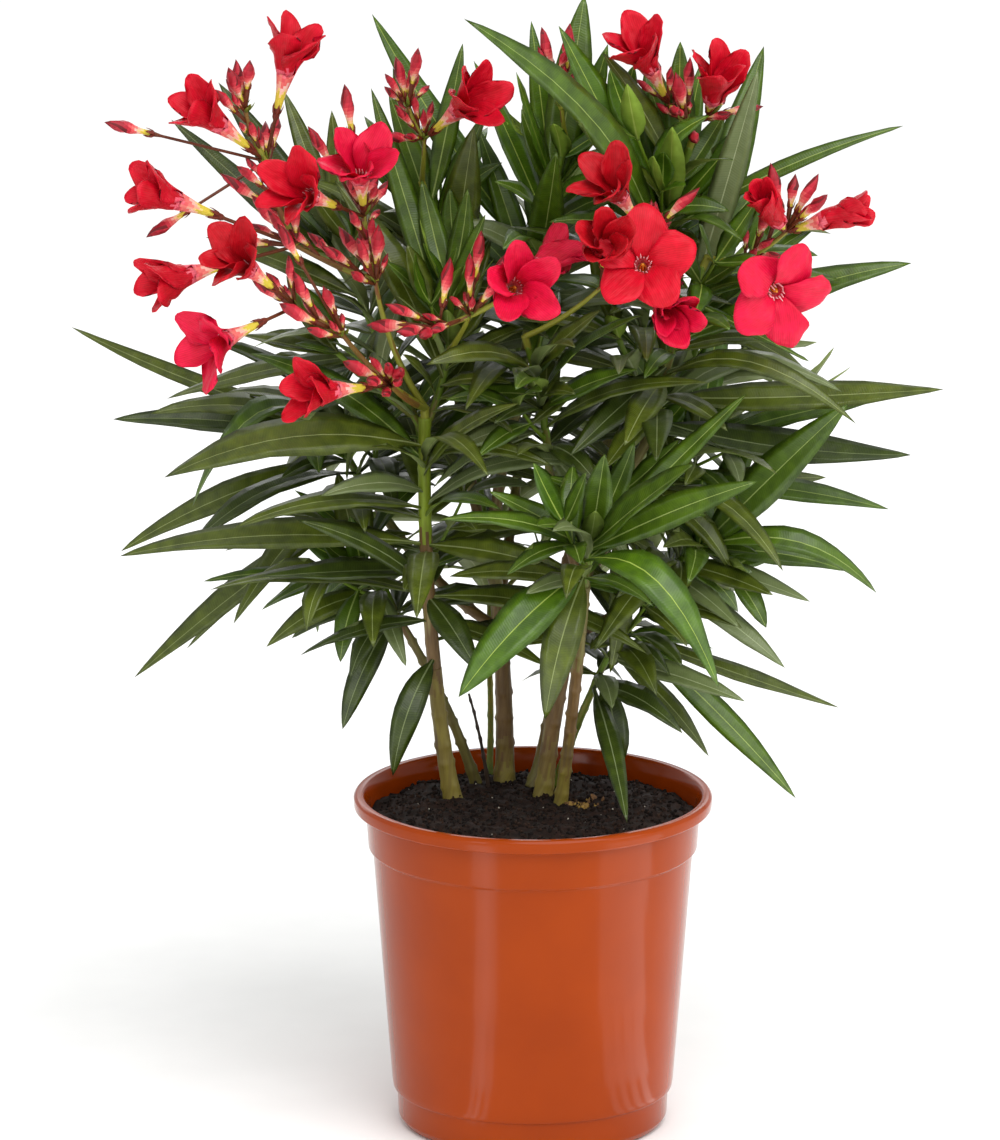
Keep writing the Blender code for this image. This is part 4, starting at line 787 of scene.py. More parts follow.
# A thin blade along a line: flat above, keeled below, turned by spec's roll.
def blade(spec, halfWidth, shape, swell=0.0):
    points = []
    for angle, height in shape[0]:
        heading = headingOn(spec["line"], height)
        across = spec["across"] - heading * heading.dot(spec["across"])
        across.normalize()
        face = heading.cross(across)
        roll = math.radians(spec["roll"] + spec["twist"] * height)
        across, face = swung(across, face, roll), swung(face, -across, roll)
        half = halfWidth(height)
        corner = sideOf(angle)
        if half == 0:
            offset = Vector()
        elif corner == 2:
            offset = face * -(spec["thick"] + 2 * swell)
        else:
            offset = across * ((half + 2 * swell) * (1 if corner == 0 else -1)) + face * swell
        points.append(pointOn(spec["line"], height) + offset)
    return points, shape[1]


def leafWidth(spec):
    def halfWidth(share):
        if share > 0.999 or share < 0.001:
            return 0.0
        if share < leafRings[0] + 0.001:
            return leaf["petiole"]
        along = (share - leafRings[0]) / (1 - leafRings[0])
        return max(leaf["petiole"], spec["width"] / 2 * math.sin(math.pi * along**0.82) ** 0.8)

    return halfWidth


def leafMesh(spec, swell=0.0):
    return blade(spec, leafWidth(spec), leafBlank if spec["long"] else shortBlank, swell)


# A leaf from its twig to its tip, its upper side turned to the sky, the twig and the light.
def leafFrom(root, axis, tip, broad, roll, twist, arch, facing, radius):
    chord = tip - root
    length = chord.length
    aside = chord - axis * chord.dot(axis)
    if aside.length > 0.001:
        root = root - aside.normalized() * leaf["sunk"] * radius
        chord = tip - root
    rise = axis * lean["twig"] + up * lean["sky"] + Vector((0, -facing, 0))
    across = rise.cross(chord)
    if across.length < 0.12 * length:
        across = axis.cross(Vector((chord.x, chord.y, 0.01)))
    across.normalize()
    lift = chord.cross(across).normalized()
    return {
        "line": lineOf(root, tip, lift * arch * length),
        "across": across,
        "roll": roll,
        "twist": twist,
        "width": (leaf["width"] + leaf["widen"] * length) * broad,
        "thick": max(leaf["thinnest"], leaf["thick"] * length),
        "long": False,
    }


placed = []  # owner, kind (whole, twig or a blade past its root), box and surface of all that stands so far


def boxOf(points):
    return [[pick(point[k] for point in points) for k in range(3)] for pick in (min, max)]


def place(owner, kind, mesh):
    placed.append((owner, kind, *boxOf(mesh[0]), BVHTree.FromPolygons(*mesh)))


def meets(mesh, wanted):
    low, high = boxOf(mesh[0])
    tree = None
    for owner, kind, otherLow, otherHigh, other in placed:
        if not wanted(owner, kind):
            continue
        if any(low[k] > otherHigh[k] or high[k] < otherLow[k] for k in range(3)):
            continue
        if tree is None:
            tree = BVHTree.FromPolygons(*mesh)
        if tree.overlap(other):
            return True
    return False


# The leaf past its root, where it must not touch another leaf of its own twig.
def outerBlade(spec, swell=0.0):
    points, faces = blade(spec, leafWidth(spec), outerBlank, swell)
    heights = [height for angle, height in outerBlank[0]]
    return points, [face for face in faces if min(heights[k] for k in face) > outerRings[0] - 0.01]


def leafFits(owner, spec):
    if meets(leafMesh(spec, room["leaf"]), lambda who, kind: who != owner and kind == "whole"):
        return False
    outer = outerBlade(spec, room["sister"])
    return not meets(outer, lambda who, kind: who == owner and kind in ("blade", "twig"))


def addLeaf(owner, spec, leaves):
    place(owner, "whole", leafMesh(spec))
    place(owner, "blade", outerBlade(spec))
    leaves.setdefault(owner, []).append(spec)


def insideCrown(point):
    offset = point - Vector(crown["middle"])
    return sum((offset[k] / crown["reach"][k]) ** 2 for k in range(3)) < 1


def reachLeaf(owner, twig, radii, wanted, leaves, rng):
    share, tip, arch, broad = wanted
    radius = taper(radii)(share)
    root = pointOn(twig, share)
    axis = headingOn(twig, share)
    roll = rng.uniform(-leaf["tilt"], leaf["tilt"])
    twist = rng.uniform(-14, 14)
    for depth in depths:
        aim = Vector(tip) + sight * depth
        spec = leafFrom(root, axis, aim, broad, roll, twist, arch, lean["outline"], radius)
        spec["long"] = True
        if leafFits(owner, spec):
            addLeaf(owner, spec, leaves)
            break


# Three leaves round a twig, each turned, raised or shortened a little until it has room, or left out.
def whorl(owner, plan, twig, radii, share, length, rise, first, leaves, rng):
    radius = taper(radii)(share)
    root = pointOn(twig, share)
    axis = headingOn(twig, share)
    side, other = roundAxis(axis)
    for number in range(3):
        bearing = first + 120 * number + rng.uniform(-leaf["turn"], leaf["turn"])
        lifted = rise + rng.uniform(-leaf["tilt"], leaf["tilt"])
        size = length * rng.uniform(*leaf["sizes"])
        roll = rng.uniform(-leaf["tilt"], leaf["tilt"])
        twist = rng.uniform(-leaf["twist"], leaf["twist"])
        arch = leaf["arch"] * rng.uniform(*leaf["arches"])
        for turn, raised, shrink in dodges:
            around = math.radians(bearing + turn)
            over = math.radians(min(84, lifted + raised))
            outward = swung(side, other, around)
            aim = root + swung(outward, axis, over) * size * shrink
            if not insideCrown(aim):
                continue
            curl = arch * (1 - 1.7 * max(0, math.sin(over) - 0.55) / 0.45)
            spec = leafFrom(root, axis, aim, 1.0, roll, twist, curl, plan["light"], radius)
            if leafFits(owner, spec):
                addLeaf(owner, spec, leaves)
                break


def whorlsOn(owner, plan, twig, radii, count, low, leaves, rng, scale=1.0):
    for step in range(count):
        share = low + (0.98 - low) * (step / max(1, count - 1))
        length = plan["leaf"] * scale * (1 + (plan["top"] - 1) * share)
        rise = plan["rise"][0] + (plan["rise"][1] - plan["rise"][0]) * share**1.3
        whorl(owner, plan, twig, radii, share, length, rise, plan["first"] + 60 * step, leaves, rng)


# A stalk and funnel with five petals round its mouth, each lapping over the next like a pinwheel.
def bloomMesh(flower):
    line = flower["line"]
    length = line["run"].length
    facing = flower["facing"]
    side, other = roundAxis(facing, up)
    spread = flower["spread"]
    size = flower["size"]
    throat = pointOn(line, 1)
    apart = 2 * math.sin(math.pi / 5) * (bloom["throat"] + petalStations[0] * size * math.sin(spread))
    halfWidth = min(bloom["broad"] * size, apart * 0.98) / 2
    points = []
    for label in bloomBlank[0]:
        around = label[1] + flower["turn"]
        outward = swung(side, other, around)
        if label[0] == "tube":
            along, radius = funnel[round(label[2], 2)]
            spot = throat + facing * along if label[2] > 0.001 else throat - facing * length
            points.append(spot + outward * radius)
            continue
        station, margin, level = label[2:]
        across = facing.cross(outward)
        reach = size * petalStations[station - 1]
        bend = spread if station == 1 else spread * 1.06
        heading, face = swung(facing, outward, bend), swung(-outward, facing, bend)
        half = halfWidth if station == 1 else halfWidth * bloom["blunt"]
        spot = throat + outward * bloom["throat"] * 0.9 + heading * reach + across * margin * half
        points.append(spot + face * (bloom["lap"] * margin * half + bloom["thick"] * (level - 0.5)))
    return points, bloomBlank[1]


def budMesh(line):
    def radiusAt(share):
        if share < 0.6:
            return bud["stalk"]
        return bud["radius"] if share < 0.9 else 0.0

    return rod(line, radiusAt, budBlank)


lines = {}
widths = {}
for name, plan in limbs.items():
    foot = startOn(plan) if "on" in plan else plan["foot"]
    lines[name] = lineOf(foot, plan["tip"], plan["bow"])
    widths[name] = taper(plan["radii"], lines[name]["run"].length, plan["flare"])
    place(name, "whole", rod(lines[name], widths[name], limbBlank))

ground = lineOf((0, 0, 120), (0, 0, compost["top"] + 0.6))
place("compost", "whole", rod(ground, taper((88, 88)), blank(24, (), False)))

for name, plan in masses.items():
    lines[name] = lineOf(startOn(plan), plan["tip"], plan["bow"])
    widths[name] = taper(plan["radii"])
    mesh = rod(lines[name], widths[name], stemBlank)
    place(name, "whole", mesh)
    place(name, "twig", mesh)

flowers = {}
buds = {}
stalks = {}
for name, plan in heads.items():
    rng = random.Random(name)
    foot = startOn(plan, 0)
    heading = headingOn(lines[plan["on"]], 1)
    if plan["from"] < 1:
        heading = (Vector(plan["hubs"][0][1]) - foot).normalized()
    lines[name] = lineOf(foot - heading * 2, foot + heading * (6 if plan["from"] == 1 else 8))
    widths[name] = taper((plan["radii"][0], plan["radii"][0]))
    stalks[name] = []
    flowers[name] = []
    ends = {-1: pointOn(lines[name], 0.9)}
    for number, (parent, spot) in enumerate(plan["hubs"]):
        hub = Vector(spot)
        run = hub - ends[parent]
        bend = up.cross(run).cross(run).normalized() * (run.length * rng.uniform(0.02, 0.06))
        ends[number] = hub
        stalks[name].append((lineOf(ends[parent], hub + run.normalized() * 1.5, bend), plan["radii"]))
    for parent, spot, opened in plan["flowers"]:
        start = ends[parent]
        facing = (Vector(spot) - start).normalized()
        spread = math.radians(bloom["closed"] + bloom["opens"] * opened)
        size = bloom["petal"] * rng.uniform(0.94, 1.06)
        flowers[name].append({
            "line": lineOf(start, Vector(spot) - facing * (size * math.cos(spread) / 2)), "facing": facing,
            "spread": spread, "size": size, "turn": rng.uniform(0, 1.2),
        })
    buds[name] = [lineOf(ends[parent], spot) for parent, spot in plan["buds"]]

for name in heads:
    meshes = [rod(lines[name], widths[name], stemBlank)]
    meshes += [rod(line, taper(radii), stalkBlank) for line, radii in stalks[name]]
    meshes += [bloomMesh(flower) for flower in flowers[name]] + [budMesh(line) for line in buds[name]]
    for mesh in meshes:
        place(name, "whole", mesh)
    for flower in flowers[name]:
        throat = pointOn(flower["line"], 1)
        ahead = lineOf(throat - sight * 12, throat - sight * bloom["clear"])
        place("open space", "whole", rod(ahead, taper((bloom["view"], bloom["view"])), twigBlank))


# A side twig stands only where it keeps clear of all else.
def standTwig(name, twig, radii, swell):
    mesh = rod(twig, taper(radii), twigBlank, swell)
    if meets(mesh, lambda who, kind: who != name and kind == "whole"):
        return False
    if meets(rod(twig, taper(radii), twigBlank), lambda who, kind: who == name and kind == "blade"):
        return False
    place(name, "whole", mesh)
    place(name, "twig", mesh)
    return True


leaves = {}
forks = {}
for name, plan in masses.items():
    rng = random.Random(name)
    for wanted in plan["reach"]:
        reachLeaf(name, lines[name], plan["radii"], wanted, leaves, rng)
for name, plan in masses.items():
    rng = random.Random(name + " twigs")
    stem = lines[name]
    forks[name] = []
    for number in range(plan["forks"]):
        share = fork["first"] + fork["next"] * number
        axis = headingOn(stem, share)
        start = pointOn(stem, share)
        for attempt in range(fork["tries"]):
            outward = swung(*roundAxis(axis), rng.uniform(0, 2 * math.pi))
            size = max(fork["shortest"], fork["length"] * stem["run"].length) * rng.uniform(0.8, 1.1)
            run = (outward * fork["out"] + axis * fork["along"]) * size
            twig = lineOf(start, start + run, -axis * size * 0.05)
            radii = (plan["radii"][1] * 0.95, plan["radii"][1] * 0.75)
            if insideCrown(pointOn(twig, 1)) and standTwig(name, twig, radii, room["leaf"]):
                forks[name].append((twig, radii))
                break
for name, plan in masses.items():
    rng = random.Random(name + " leaves")
    whorlsOn(name, plan, lines[name], plan["radii"], plan["whorls"], 0.12, leaves, rng)
    for twig, radii in forks[name]:
        whorlsOn(name, plan, twig, radii, 2, 0.5, leaves, rng, 0.85)
coarse = {name: len(leaves.get(name, [])) for name in masses}
print("planned", sum(coarse.values()), "main leaves")

# finer twigs and young leaves, grown by the same rule in the space that is left
fine = {
    "shoots": 2, "shootLength": (26, 46), "shootRadii": (1.1, 0.8), "shootLeaf": 46, "tuftLeaf": 34,
    "between": 0.55, "tries": 10,
}
shoots = {}
youngFrom = {}
for name, plan in masses.items():
    rng = random.Random(name + " fine")
    stem = lines[name]
    shoots[name] = []
    small = dict(plan, leaf=plan["leaf"] * fine["between"], top=0.85)
    # short leaves between the main whorls
    count = plan["whorls"] - 1
    whorlsOn(name, dict(small, first=plan["first"] + 30), stem, plan["radii"], count, 0.2, leaves, rng)
    for number in range(fine["shoots"]):
        for attempt in range(fine["tries"]):
            share = rng.uniform(0.15, 0.85)
            axis = headingOn(stem, share)
            outward = swung(*roundAxis(axis), rng.uniform(0, 2 * math.pi))
            start = pointOn(stem, share)
            run = (outward * 0.7 + axis * 0.7 + up * 0.2) * rng.uniform(*fine["shootLength"])
            shoot = lineOf(start, start + run, -axis * 1.5)
            if not standTwig(name, shoot, fine["shootRadii"], gap):
                continue
            shoots[name].append((shoot, fine["shootRadii"]))
            shootPlan = dict(plan, leaf=fine["shootLeaf"], top=0.9)
            whorlsOn(name, shootPlan, shoot, fine["shootRadii"], 2, 0.55, leaves, rng)
            break
    youngFrom[name] = len(leaves.get(name, []))
    tip = [(stem, plan["radii"])] + forks[name]
    for twig, radii in tip:
        whorl(name, plan, twig, radii, 0.985, fine["tuftLeaf"], 74, rng.uniform(0, 120), leaves, rng)
        whorl(name, plan, twig, radii, 0.95, fine["tuftLeaf"] * 1.3, 60, rng.uniform(0, 120), leaves, rng)
print("planned", sum(len(found) for found in leaves.values()), "leaves in all")


# how a shape is bent along a line and added to a piece
def tubeShape(name, sides, rings, spread=1):
    # a closed tube along Z, pointed at both ends, as a mesh with each vertex's corner and height
    made = unitRod(sides, rings)
    for height in (0, 1):
        rim = [vert for vert in made.verts if abs(vert.co.z - height) < 1e-4]
        bmesh.ops.pointmerge(made, verts=rim, merge_co=(0, 0, height))
    bmesh.ops.remove_doubles(made, verts=made.verts, dist=1e-5)
    bmesh.ops.recalc_face_normals(made, faces=made.faces)
    step = 2 * math.pi / sides
    levels = sorted({round(vert.co.z, 5) for vert in made.verts})
    strips = []
    for face in made.faces:
        face.smooth = True
        middle = face.calc_center_median()
        strip = int(((math.atan2(middle.y, middle.x) - math.pi / 2) / step) % sides)
        strips.append((strip, sum(1 for height in levels if height < middle.z) - 1))
    corners = []
    for vert in made.verts:
        corner = round((math.atan2(vert.co.y, vert.co.x) - math.pi / 2) / step) % sides
        corners.append((corner, levels.index(round(vert.co.z, 5))))
    made.loops.layers.uv.new("flow")
    data = meshFrom(made, name)
    return {"mesh": data, "corners": corners, "levels": levels, "strips": strips, "sides": sides,
            "loops": [loop.vertex_index for loop in data.loops]}


def stamp(piece, blankShape, spots, finishes):
    # adds the shape, given each vertex's place with its flow (across, along), and each face's finish
    data = blankShape["mesh"]
    data.vertices.foreach_set("co", [value * mm for point, flow in spots for value in point])
    data.polygons.foreach_set("material_index", finishes)
    layer = data.uv_layers["flow"].data
    layer.foreach_set("uv", [value * mm for index in blankShape["loops"] for value in spots[index][1]])
    piece.from_mesh(data)


def frameOn(line, share, hint):
    heading = headingOn(line, min(1, max(0, share)))
    across = hint - heading * heading.dot(hint)
    across.normalize()
    return heading, across, heading.cross(across)


def soften(value, low, high):
    value = min(1, max(0, (value - low) / (high - low)))
    return value * value * (3 - 2 * value)


tubes = {}


def tubeOf(sides, count):
    # a tube with evenly spaced rings, and a pair close to each end for a crisp cut
    if (sides, count) not in tubes:
        rings = [0.0004] + [(k + 0.5) / count for k in range(count)] + [0.9996]
        tubes[sides, count] = tubeShape("tube", sides, rings)
    return tubes[sides, count]


def barkRod(piece, line, radiusAt, sides, spacing, relief, nodes, bands=0, low=0.0):
    # a round limb with streaky relief and a ring of leaf scars at each node; low reaches below its foot;
    # bands is one finish, or finishes each with the share of the length it reaches to
    length = line["run"].length
    tube = tubeOf(sides, max(3, round(length / spacing)))
    hint = acrossTo(headingOn(line, 0.5), up if abs(headingOn(line, 0.5).z) < 0.8 else Vector((0, 1, 0)))
    frames = {}
    spots = []
    seed = line["foot"] * 0.37
    for corner, level in tube["corners"]:
        share = tube["levels"][level]
        if level not in frames:
            frames[level] = (pointOn(line, share), *frameOn(line, share, hint))
        centre, heading, across, over = frames[level]
        if low and share < 0.2:
            centre = centre - heading * low * (1 - share / 0.2)
        along = share * length
        angle = 2 * math.pi * corner / sides
        radius = radiusAt(share)
        if level in (0, len(tube["levels"]) - 1):
            radius = 0
        elif relief:
            streak = noise.noise(Vector((math.cos(angle) * 2.2, math.sin(angle) * 2.2, along * 0.09)) + seed)
            lumps = noise.noise(Vector((math.cos(angle) * 3.5, math.sin(angle) * 3.5, along * 0.5)) + seed)
            radius += relief * (0.8 * streak + 0.5 * lumps)
            for spot, turn in nodes:
                near = math.exp(-(((along - spot) / 1.3) ** 2))
                if near < 0.02:
                    continue
                facing = max(math.cos(angle - turn - 2 * math.pi * k / 3) for k in range(3))
                radius += near * relief * (0.6 + 2.6 * soften(facing, 0.75, 1.0))
        spots.append((centre + swung(across, over, angle) * radius, (angle * radiusAt(share), along)))
    if isinstance(bands, int):
        bands = ((1.0, bands),)
    finishes = []
    for strip, ring in tube["strips"]:
        share = tube["levels"][ring]
        if len(bands) > 1:
            share += 18 / length * noise.noise(Vector((strip * 0.85, share * length * 0.1, 0)) + seed)
        finishes.append(next((finish for end, finish in bands if share <= end), bands[-1][1]))
    stamp(piece, tube, spots, finishes)


# stems and boughs
bark = {
    "sunk": 4.0, "twigRings": 2.4,
    # two close colours, and the colour of the corky spots
    "finishes": {
        "oliveBark": ("#6b6428", "#5b4f22", "#7d7440"), "tanBark": ("#7d7028", "#6b5c22", "#54401c"),
        "brownBark": ("#6d5226", "#583f1a", "#7d7040"), "greenBark": ("#7d9212", "#6c7a14", "#96a236"),
        "tawnyBark": ("#756127", "#624e1e", "#5c4a28"),
    },
    # up each stem, the share of its length that each finish reaches to: 0 olive, 1 tan, 2 brown,
    # 3 still green, 4 between tan and brown
    "bands": {
        "stem_left": ((0.82, 1), (0.96, 4), (1.0, 2)),
        "stem_middle": ((0.06, 1), (0.15, 4), (0.8, 2), (1.0, 0)),
        "stem_right": ((0.09, 1), (0.2, 4), (0.6, 2), (1.0, 0)), "stem_thin": ((0.9, 0), (1.0, 2)),
        "stem_right_twin": ((0.14, 0), (0.26, 4), (0.75, 2), (1.0, 0)),
        "stem_front": ((0.13, 1), (0.26, 4), (0.6, 2), (1.0, 0)),
        "side_shoot": 0, "green_sucker": 0, "dry_twig": 0,
    },
    "boughBands": ((0.45, 2), (1.0, 0)),
}


def scars(rng, length, spacing):
    # distances of the leaf scars up a limb, each ring turned half a step from the last
    found = []
    spot = rng.uniform(4, spacing)
    turn = rng.uniform(0, 2)
    while spot < length - 2:
        found.append((spot, turn))
        spot += spacing * rng.uniform(0.7, 1.3)
        turn += math.pi / 3
    return found


# young oleander bark: smooth, olive to grey-brown, in upright streaks with small corky spots
def barkFinish(name, first, second, spot, settings=None):
    return mottled(name, first, second, 1.0, (0.45, 0.7), settings, bump=(0.8, 0.25),
                   stretch=(0.55, 0.07, 1), flow=True, detail=5.0, spots=(spot, 2.6))


woodFinishes = [barkFinish(name, *colours) for name, colours in bark["finishes"].items()]
# soft green shoot: waxy, lightly streaked
greenBark = barkFinish("greenShoot", "#5c7414", "#4d6410", "#7d8a3a", {"Subsurface Weight": 0.05})
# dead twig: dark brown, dry and rough
deadWood = barkFinish("deadTwig", "#3b2a1c", "#241811", "#55402c")
woody = [name for name in limbs if name not in ("side_shoot", "green_sucker", "dry_twig")]
rng = random.Random("bark")
# piece, its limbs, sides round, spacing of its rings, relief, distance between leaf scars, finishes, slot
for piece, names, sides, spacing, relief, node, finishes, slotName in (
    ("woodyStems", woody, 22, 1.5, 0.26, 13.0, woodFinishes, "bark"),
    ("greenShoots", ("side_shoot", "green_sucker"), 16, 1.5, 0.12, 13.0, [greenBark], "green_bark"),
    ("dryTwig", ("dry_twig",), 12, 1.2, 0.14, 9, [deadWood], "dead_wood"),
):
    shape = bmesh.new()
    for name in names:
        line = lines[name]
        barkRod(shape, line, widths[name], sides, spacing, relief, scars(rng, line["run"].length, node),
                bark["bands"].get(name, bark["boughBands"]), 0 if "on" in limbs[name] else bark["sunk"])
    finishPiece(piece, shape, finishes, slotName, *names)

# leafy twigs: each mass's stem and its side twigs
shape = bmesh.new()
for name, plan in masses.items():
    rng = random.Random(name + " bark")
    twigs = [(lines[name], plan["radii"])] + forks[name]
    for number, (twig, radii) in enumerate(twigs):
        length = twig["run"].length
        steps = plan["whorls"] if number == 0 else 2
        spots = [((0.12 + 0.86 * k / max(1, steps - 1)) * length, math.radians(plan["first"] + 60 * k))
                 for k in range(steps)]
        bands = ((0.5, 2), (1.0, 3)) if name == "leaves_left" else ((rng.uniform(0.1, 0.5), 0), (1.0, 1))
        barkRod(shape, twig, taper(radii), 12, bark["twigRings"], 0.16, spots, bands)
    for twig, radii in shoots[name]:
        barkRod(shape, twig, taper(radii), 8, bark["twigRings"] * 1.4, 0.06, [], 1)
# this year's growth: green, turning brown on the lit side
twigGreen = barkFinish("leafyTwig", "#5c6c14", "#64561e", "#7d8238")
twigYoung = barkFinish("youngTwig", "#62800c", "#586c12", "#84943a")
finishPiece("leafyTwigs", shape, [twigGreen, twigYoung, *woodFinishes[2:4]], "green_bark", *masses)

# leaves
leafLook = {
    "rings": (0.03, 0.09, 0.19, 0.34, 0.5, 0.66, 0.81, 0.93),
    "longRings": (0.02, 0.05, 0.09, 0.15, 0.23, 0.32, 0.42, 0.52, 0.62, 0.72, 0.81, 0.89, 0.95),
    "rib": 0.4, "keel": 0.5, "fold": 0.13, "camber": 0.06, "wave": 0.9, "droop": 0.06, "sway": 0.04,
    # upper side, rib and underside, each as two close colours
    "tints": {
        "mature": (("#535f17", "#3d480d"), ("#8b9560", "#7c8652"), ("#76834c", "#6a7740")),
        "dark": (("#3a4812", "#28350a"), ("#76815a", "#69744a"), ("#6a7645", "#5f6b3b")),
        "fresh": (("#4a6410", "#364d08"), ("#8fa05a", "#80914a"), ("#74873a", "#687b30")),
        "young": (("#4b6b0e", "#375407"), ("#9cb052", "#8da044"), ("#7f9a36", "#728c2c")),
        # pale: paler, greyer blades that stand for a painted sheen on glossy leaves
        "pale": (("#69754a", "#5f6c3e"), ("#9aa47c", "#8c966c"), ("#808c5c", "#75814f")),
    },
}
leafTube = tubeShape("leaf", 8, leafLook["rings"])
longTube = tubeShape("longLeaf", 8, leafLook["longRings"])
# which face strip gets the upper side, the rib and the underside
leafStrips = [0, 0, 1, 0, 0, 2, 1, 2]


def leafOutline(spec):
    halfWidth = leafWidth(spec)

    def half(share):
        if share < leafRings[0]:
            return leaf["petiole"] * (0.9 + 0.1 * share / leafRings[0])
        return halfWidth(share)

    return half


def grownLeaf(piece, spec, kind, rng):
    # a thin blade with a sunken rib above and a raised one below, its halves folded up a little and wavy
    line = spec["line"]
    length = line["run"].length
    tube = longTube if spec["long"] or length > 100 else leafTube
    level = 1 - abs(line["run"].normalized().z)
    hang = up * (-length * leafLook["droop"] * level * rng.uniform(-0.3, 1.2))
    sway = spec["across"] * (length * leafLook["sway"] * rng.uniform(-1, 1))
    half = leafOutline(spec)
    phase = rng.uniform(0, 6.3)
    waves = rng.uniform(1.5, 3.2)
    fold = leafLook["fold"] * rng.uniform(0.2, 1.9)
    apart = rng.uniform(0, 400)
    frames = []
    for share in tube["levels"]:
        heading, across, face = frameOn(line, share, spec["across"])
        roll = math.radians(spec["roll"] + spec["twist"] * share)
        across, face = swung(across, face, roll), swung(face, -across, roll)
        bent = pointOn(line, share) + hang * share**3 + sway * (share**2 - share)
        frames.append((bent, across, face, half(share)))
    spots = []
    last = len(frames) - 1
    for corner, level in tube["corners"]:
        share = tube["levels"][level]
        centre, across, face, wide = frames[level]
        if level in (0, last):
            spots.append((centre, (apart, share * length)))
            continue
        flat = soften(share, 0.04, 0.12)
        thin = 1 - 0.6 * share
        rib = min(leafLook["rib"] * (1.25 - share), wide * 0.6)
        keel = leafLook["keel"] * thin
        ripple = leafLook["wave"] * soften(share, 0.1, 0.4) * (wide / 9)
        left = fold * wide + ripple * math.sin(phase + waves * 6.28 * share)
        right = fold * wide + ripple * math.sin(phase + 2.1 + waves * 6.28 * share)
        camber = leafLook["camber"] * wide
        blade = (
            (-wide, left), (-0.52 * wide, 0.5 * left + camber), (-rib, 0.05), (rib, 0.05),
            (0.52 * wide, 0.5 * right + camber), (wide, right), (rib * 1.2, -keel), (-rib * 1.2, -keel),
        )[corner]
        angle = math.pi * (1 + (0.0, 0.25, 0.42, 0.58, 0.75, 1.0, 1.4, 1.6)[corner])
        stalk = (math.cos(angle) * wide, -math.sin(angle) * wide * 0.8)
        x = stalk[0] + (blade[0] - stalk[0]) * flat
        z = stalk[1] + (blade[1] - stalk[1]) * flat
        spots.append((centre + across * x + face * z, (apart + abs(x), share * length)))
    finishes = [kind * 3 + leafStrips[strip] for strip, ring in tube["strips"]]
    stamp(piece, tube, spots, finishes)


# a leathery leaf: waxy above with a soft sheen, matt below, side veins about 1.2 mm apart, close to square
# across the rib; drawn a little coarser than life so that they show
def leafFinish(name, pair, roughness, vein, settings):
    material, tree, shader = newFinish(name, {"Base Color": linear(pair[0]), **settings})
    flowMap = addNode(tree, "TexCoord").outputs["UV"]
    patches, tone = patchy(tree, shader, flowMap, pair, 9, 4.0, 0.36, roughness)
    slant = addNode(tree, "Mapping", {"Rotation": (0, 0, math.radians(18))}, {"Vector": flowMap})
    # the wave texture repeats every 0.314 / scale
    veins = addNode(tree, "TexWave", {"bands_direction": "Y", "Scale": 0.314 / (1.3 * mm), "Distortion": 0.6,
                                      "Detail": 1.0}, {"Vector": slant.outputs["Vector"]})
    lit = addNode(tree, "Mix", {"data_type": "RGBA", "blend_type": "SCREEN", 7: linear("#2a3016")},
                  {0: addNode(tree, "MapRange", {"From Min": 0.55, "To Max": vein},
                              {"Value": veins.outputs["Fac"]}).outputs["Result"], 6: tone})
    tree.links.new(lit.outputs[2], shader.inputs["Base Color"])
    # the blade isn't quite flat between its veins, which breaks up its sheen
    uneven = addNode(tree, "Bump", {"Distance": 0.9 * mm, "Strength": 0.5}, {"Height": patches})
    relief = addNode(tree, "Bump", {"Distance": 0.12 * mm, "Strength": 0.35},
                     {"Height": veins.outputs["Fac"], "Normal": uneven.outputs["Normal"]})
    tree.links.new(relief.outputs["Normal"], shader.inputs["Normal"])
    return material


# side, roughness, how much the veins show, index of refraction, shine
leafSides = (
    ("LeafAbove", (0.24, 0.44), 0.4, 1.45, 0.5), ("LeafRib", (0.5, 0.6), 0.1, 1.5, 0.25),
    ("LeafBelow", (0.6, 0.75), 0.3, 1.5, 0.2),
)
leafFinishes = []
for kind, pairs in leafLook["tints"].items():
    for pair, (name, roughness, vein, bending, shine) in zip(pairs, leafSides):
        leafFinishes.append(leafFinish(kind + name, pair, roughness, vein,
                                       {"IOR": bending, "Specular IOR Level": shine}))
# how new the growth is at a mass's foot and at its tip, from 0, old and dark, to 1, young and bright
freshness = {
    "front_low": (0.4, 0.7), "top_middle": (0.2, 1.0), "top_right": (0.2, 1.05), "top_left": (0.15, 0.7),
    "left_crest": (0.3, 0.75), "centre": (0.2, 0.6), "right": (0.25, 0.8), "back_middle": (0.1, 0.8),
    "right_mid": (0.25, 0.6), "right_low": (0.25, 0.6),
}
shape = bmesh.new()
for name in masses:
    rng = random.Random(name + " leaf finish")
    stem = lines[name]
    low, high = freshness.get(name, (0.1, 0.5))
    for number, spec in enumerate(leaves.get(name, [])):
        share = (spec["line"]["foot"] - stem["foot"]).dot(stem["run"]) / stem["run"].length_squared
        fresh = low + (high - low) * min(1, max(0, share)) + rng.gauss(0, 0.16)
        if number >= youngFrom[name]:
            fresh += 0.35
        kind = 1 if fresh < 0.22 else 0 if fresh < 0.5 else 2 if fresh < 0.86 else 3
        # some older leaves take the pale colours, a painted sheen; masses without the word left in their name
        # get far more of them, which paints the plant's left side darker and the rest lighter, as the light
        # falls
        if kind < 2 and rng.random() < (0.06 if "left" in name else 0.26):
            kind = 4
        grownLeaf(shape, spec, kind, rng)
finishPiece("oleanderLeaves", shape, leafFinishes, "leaf", *masses)

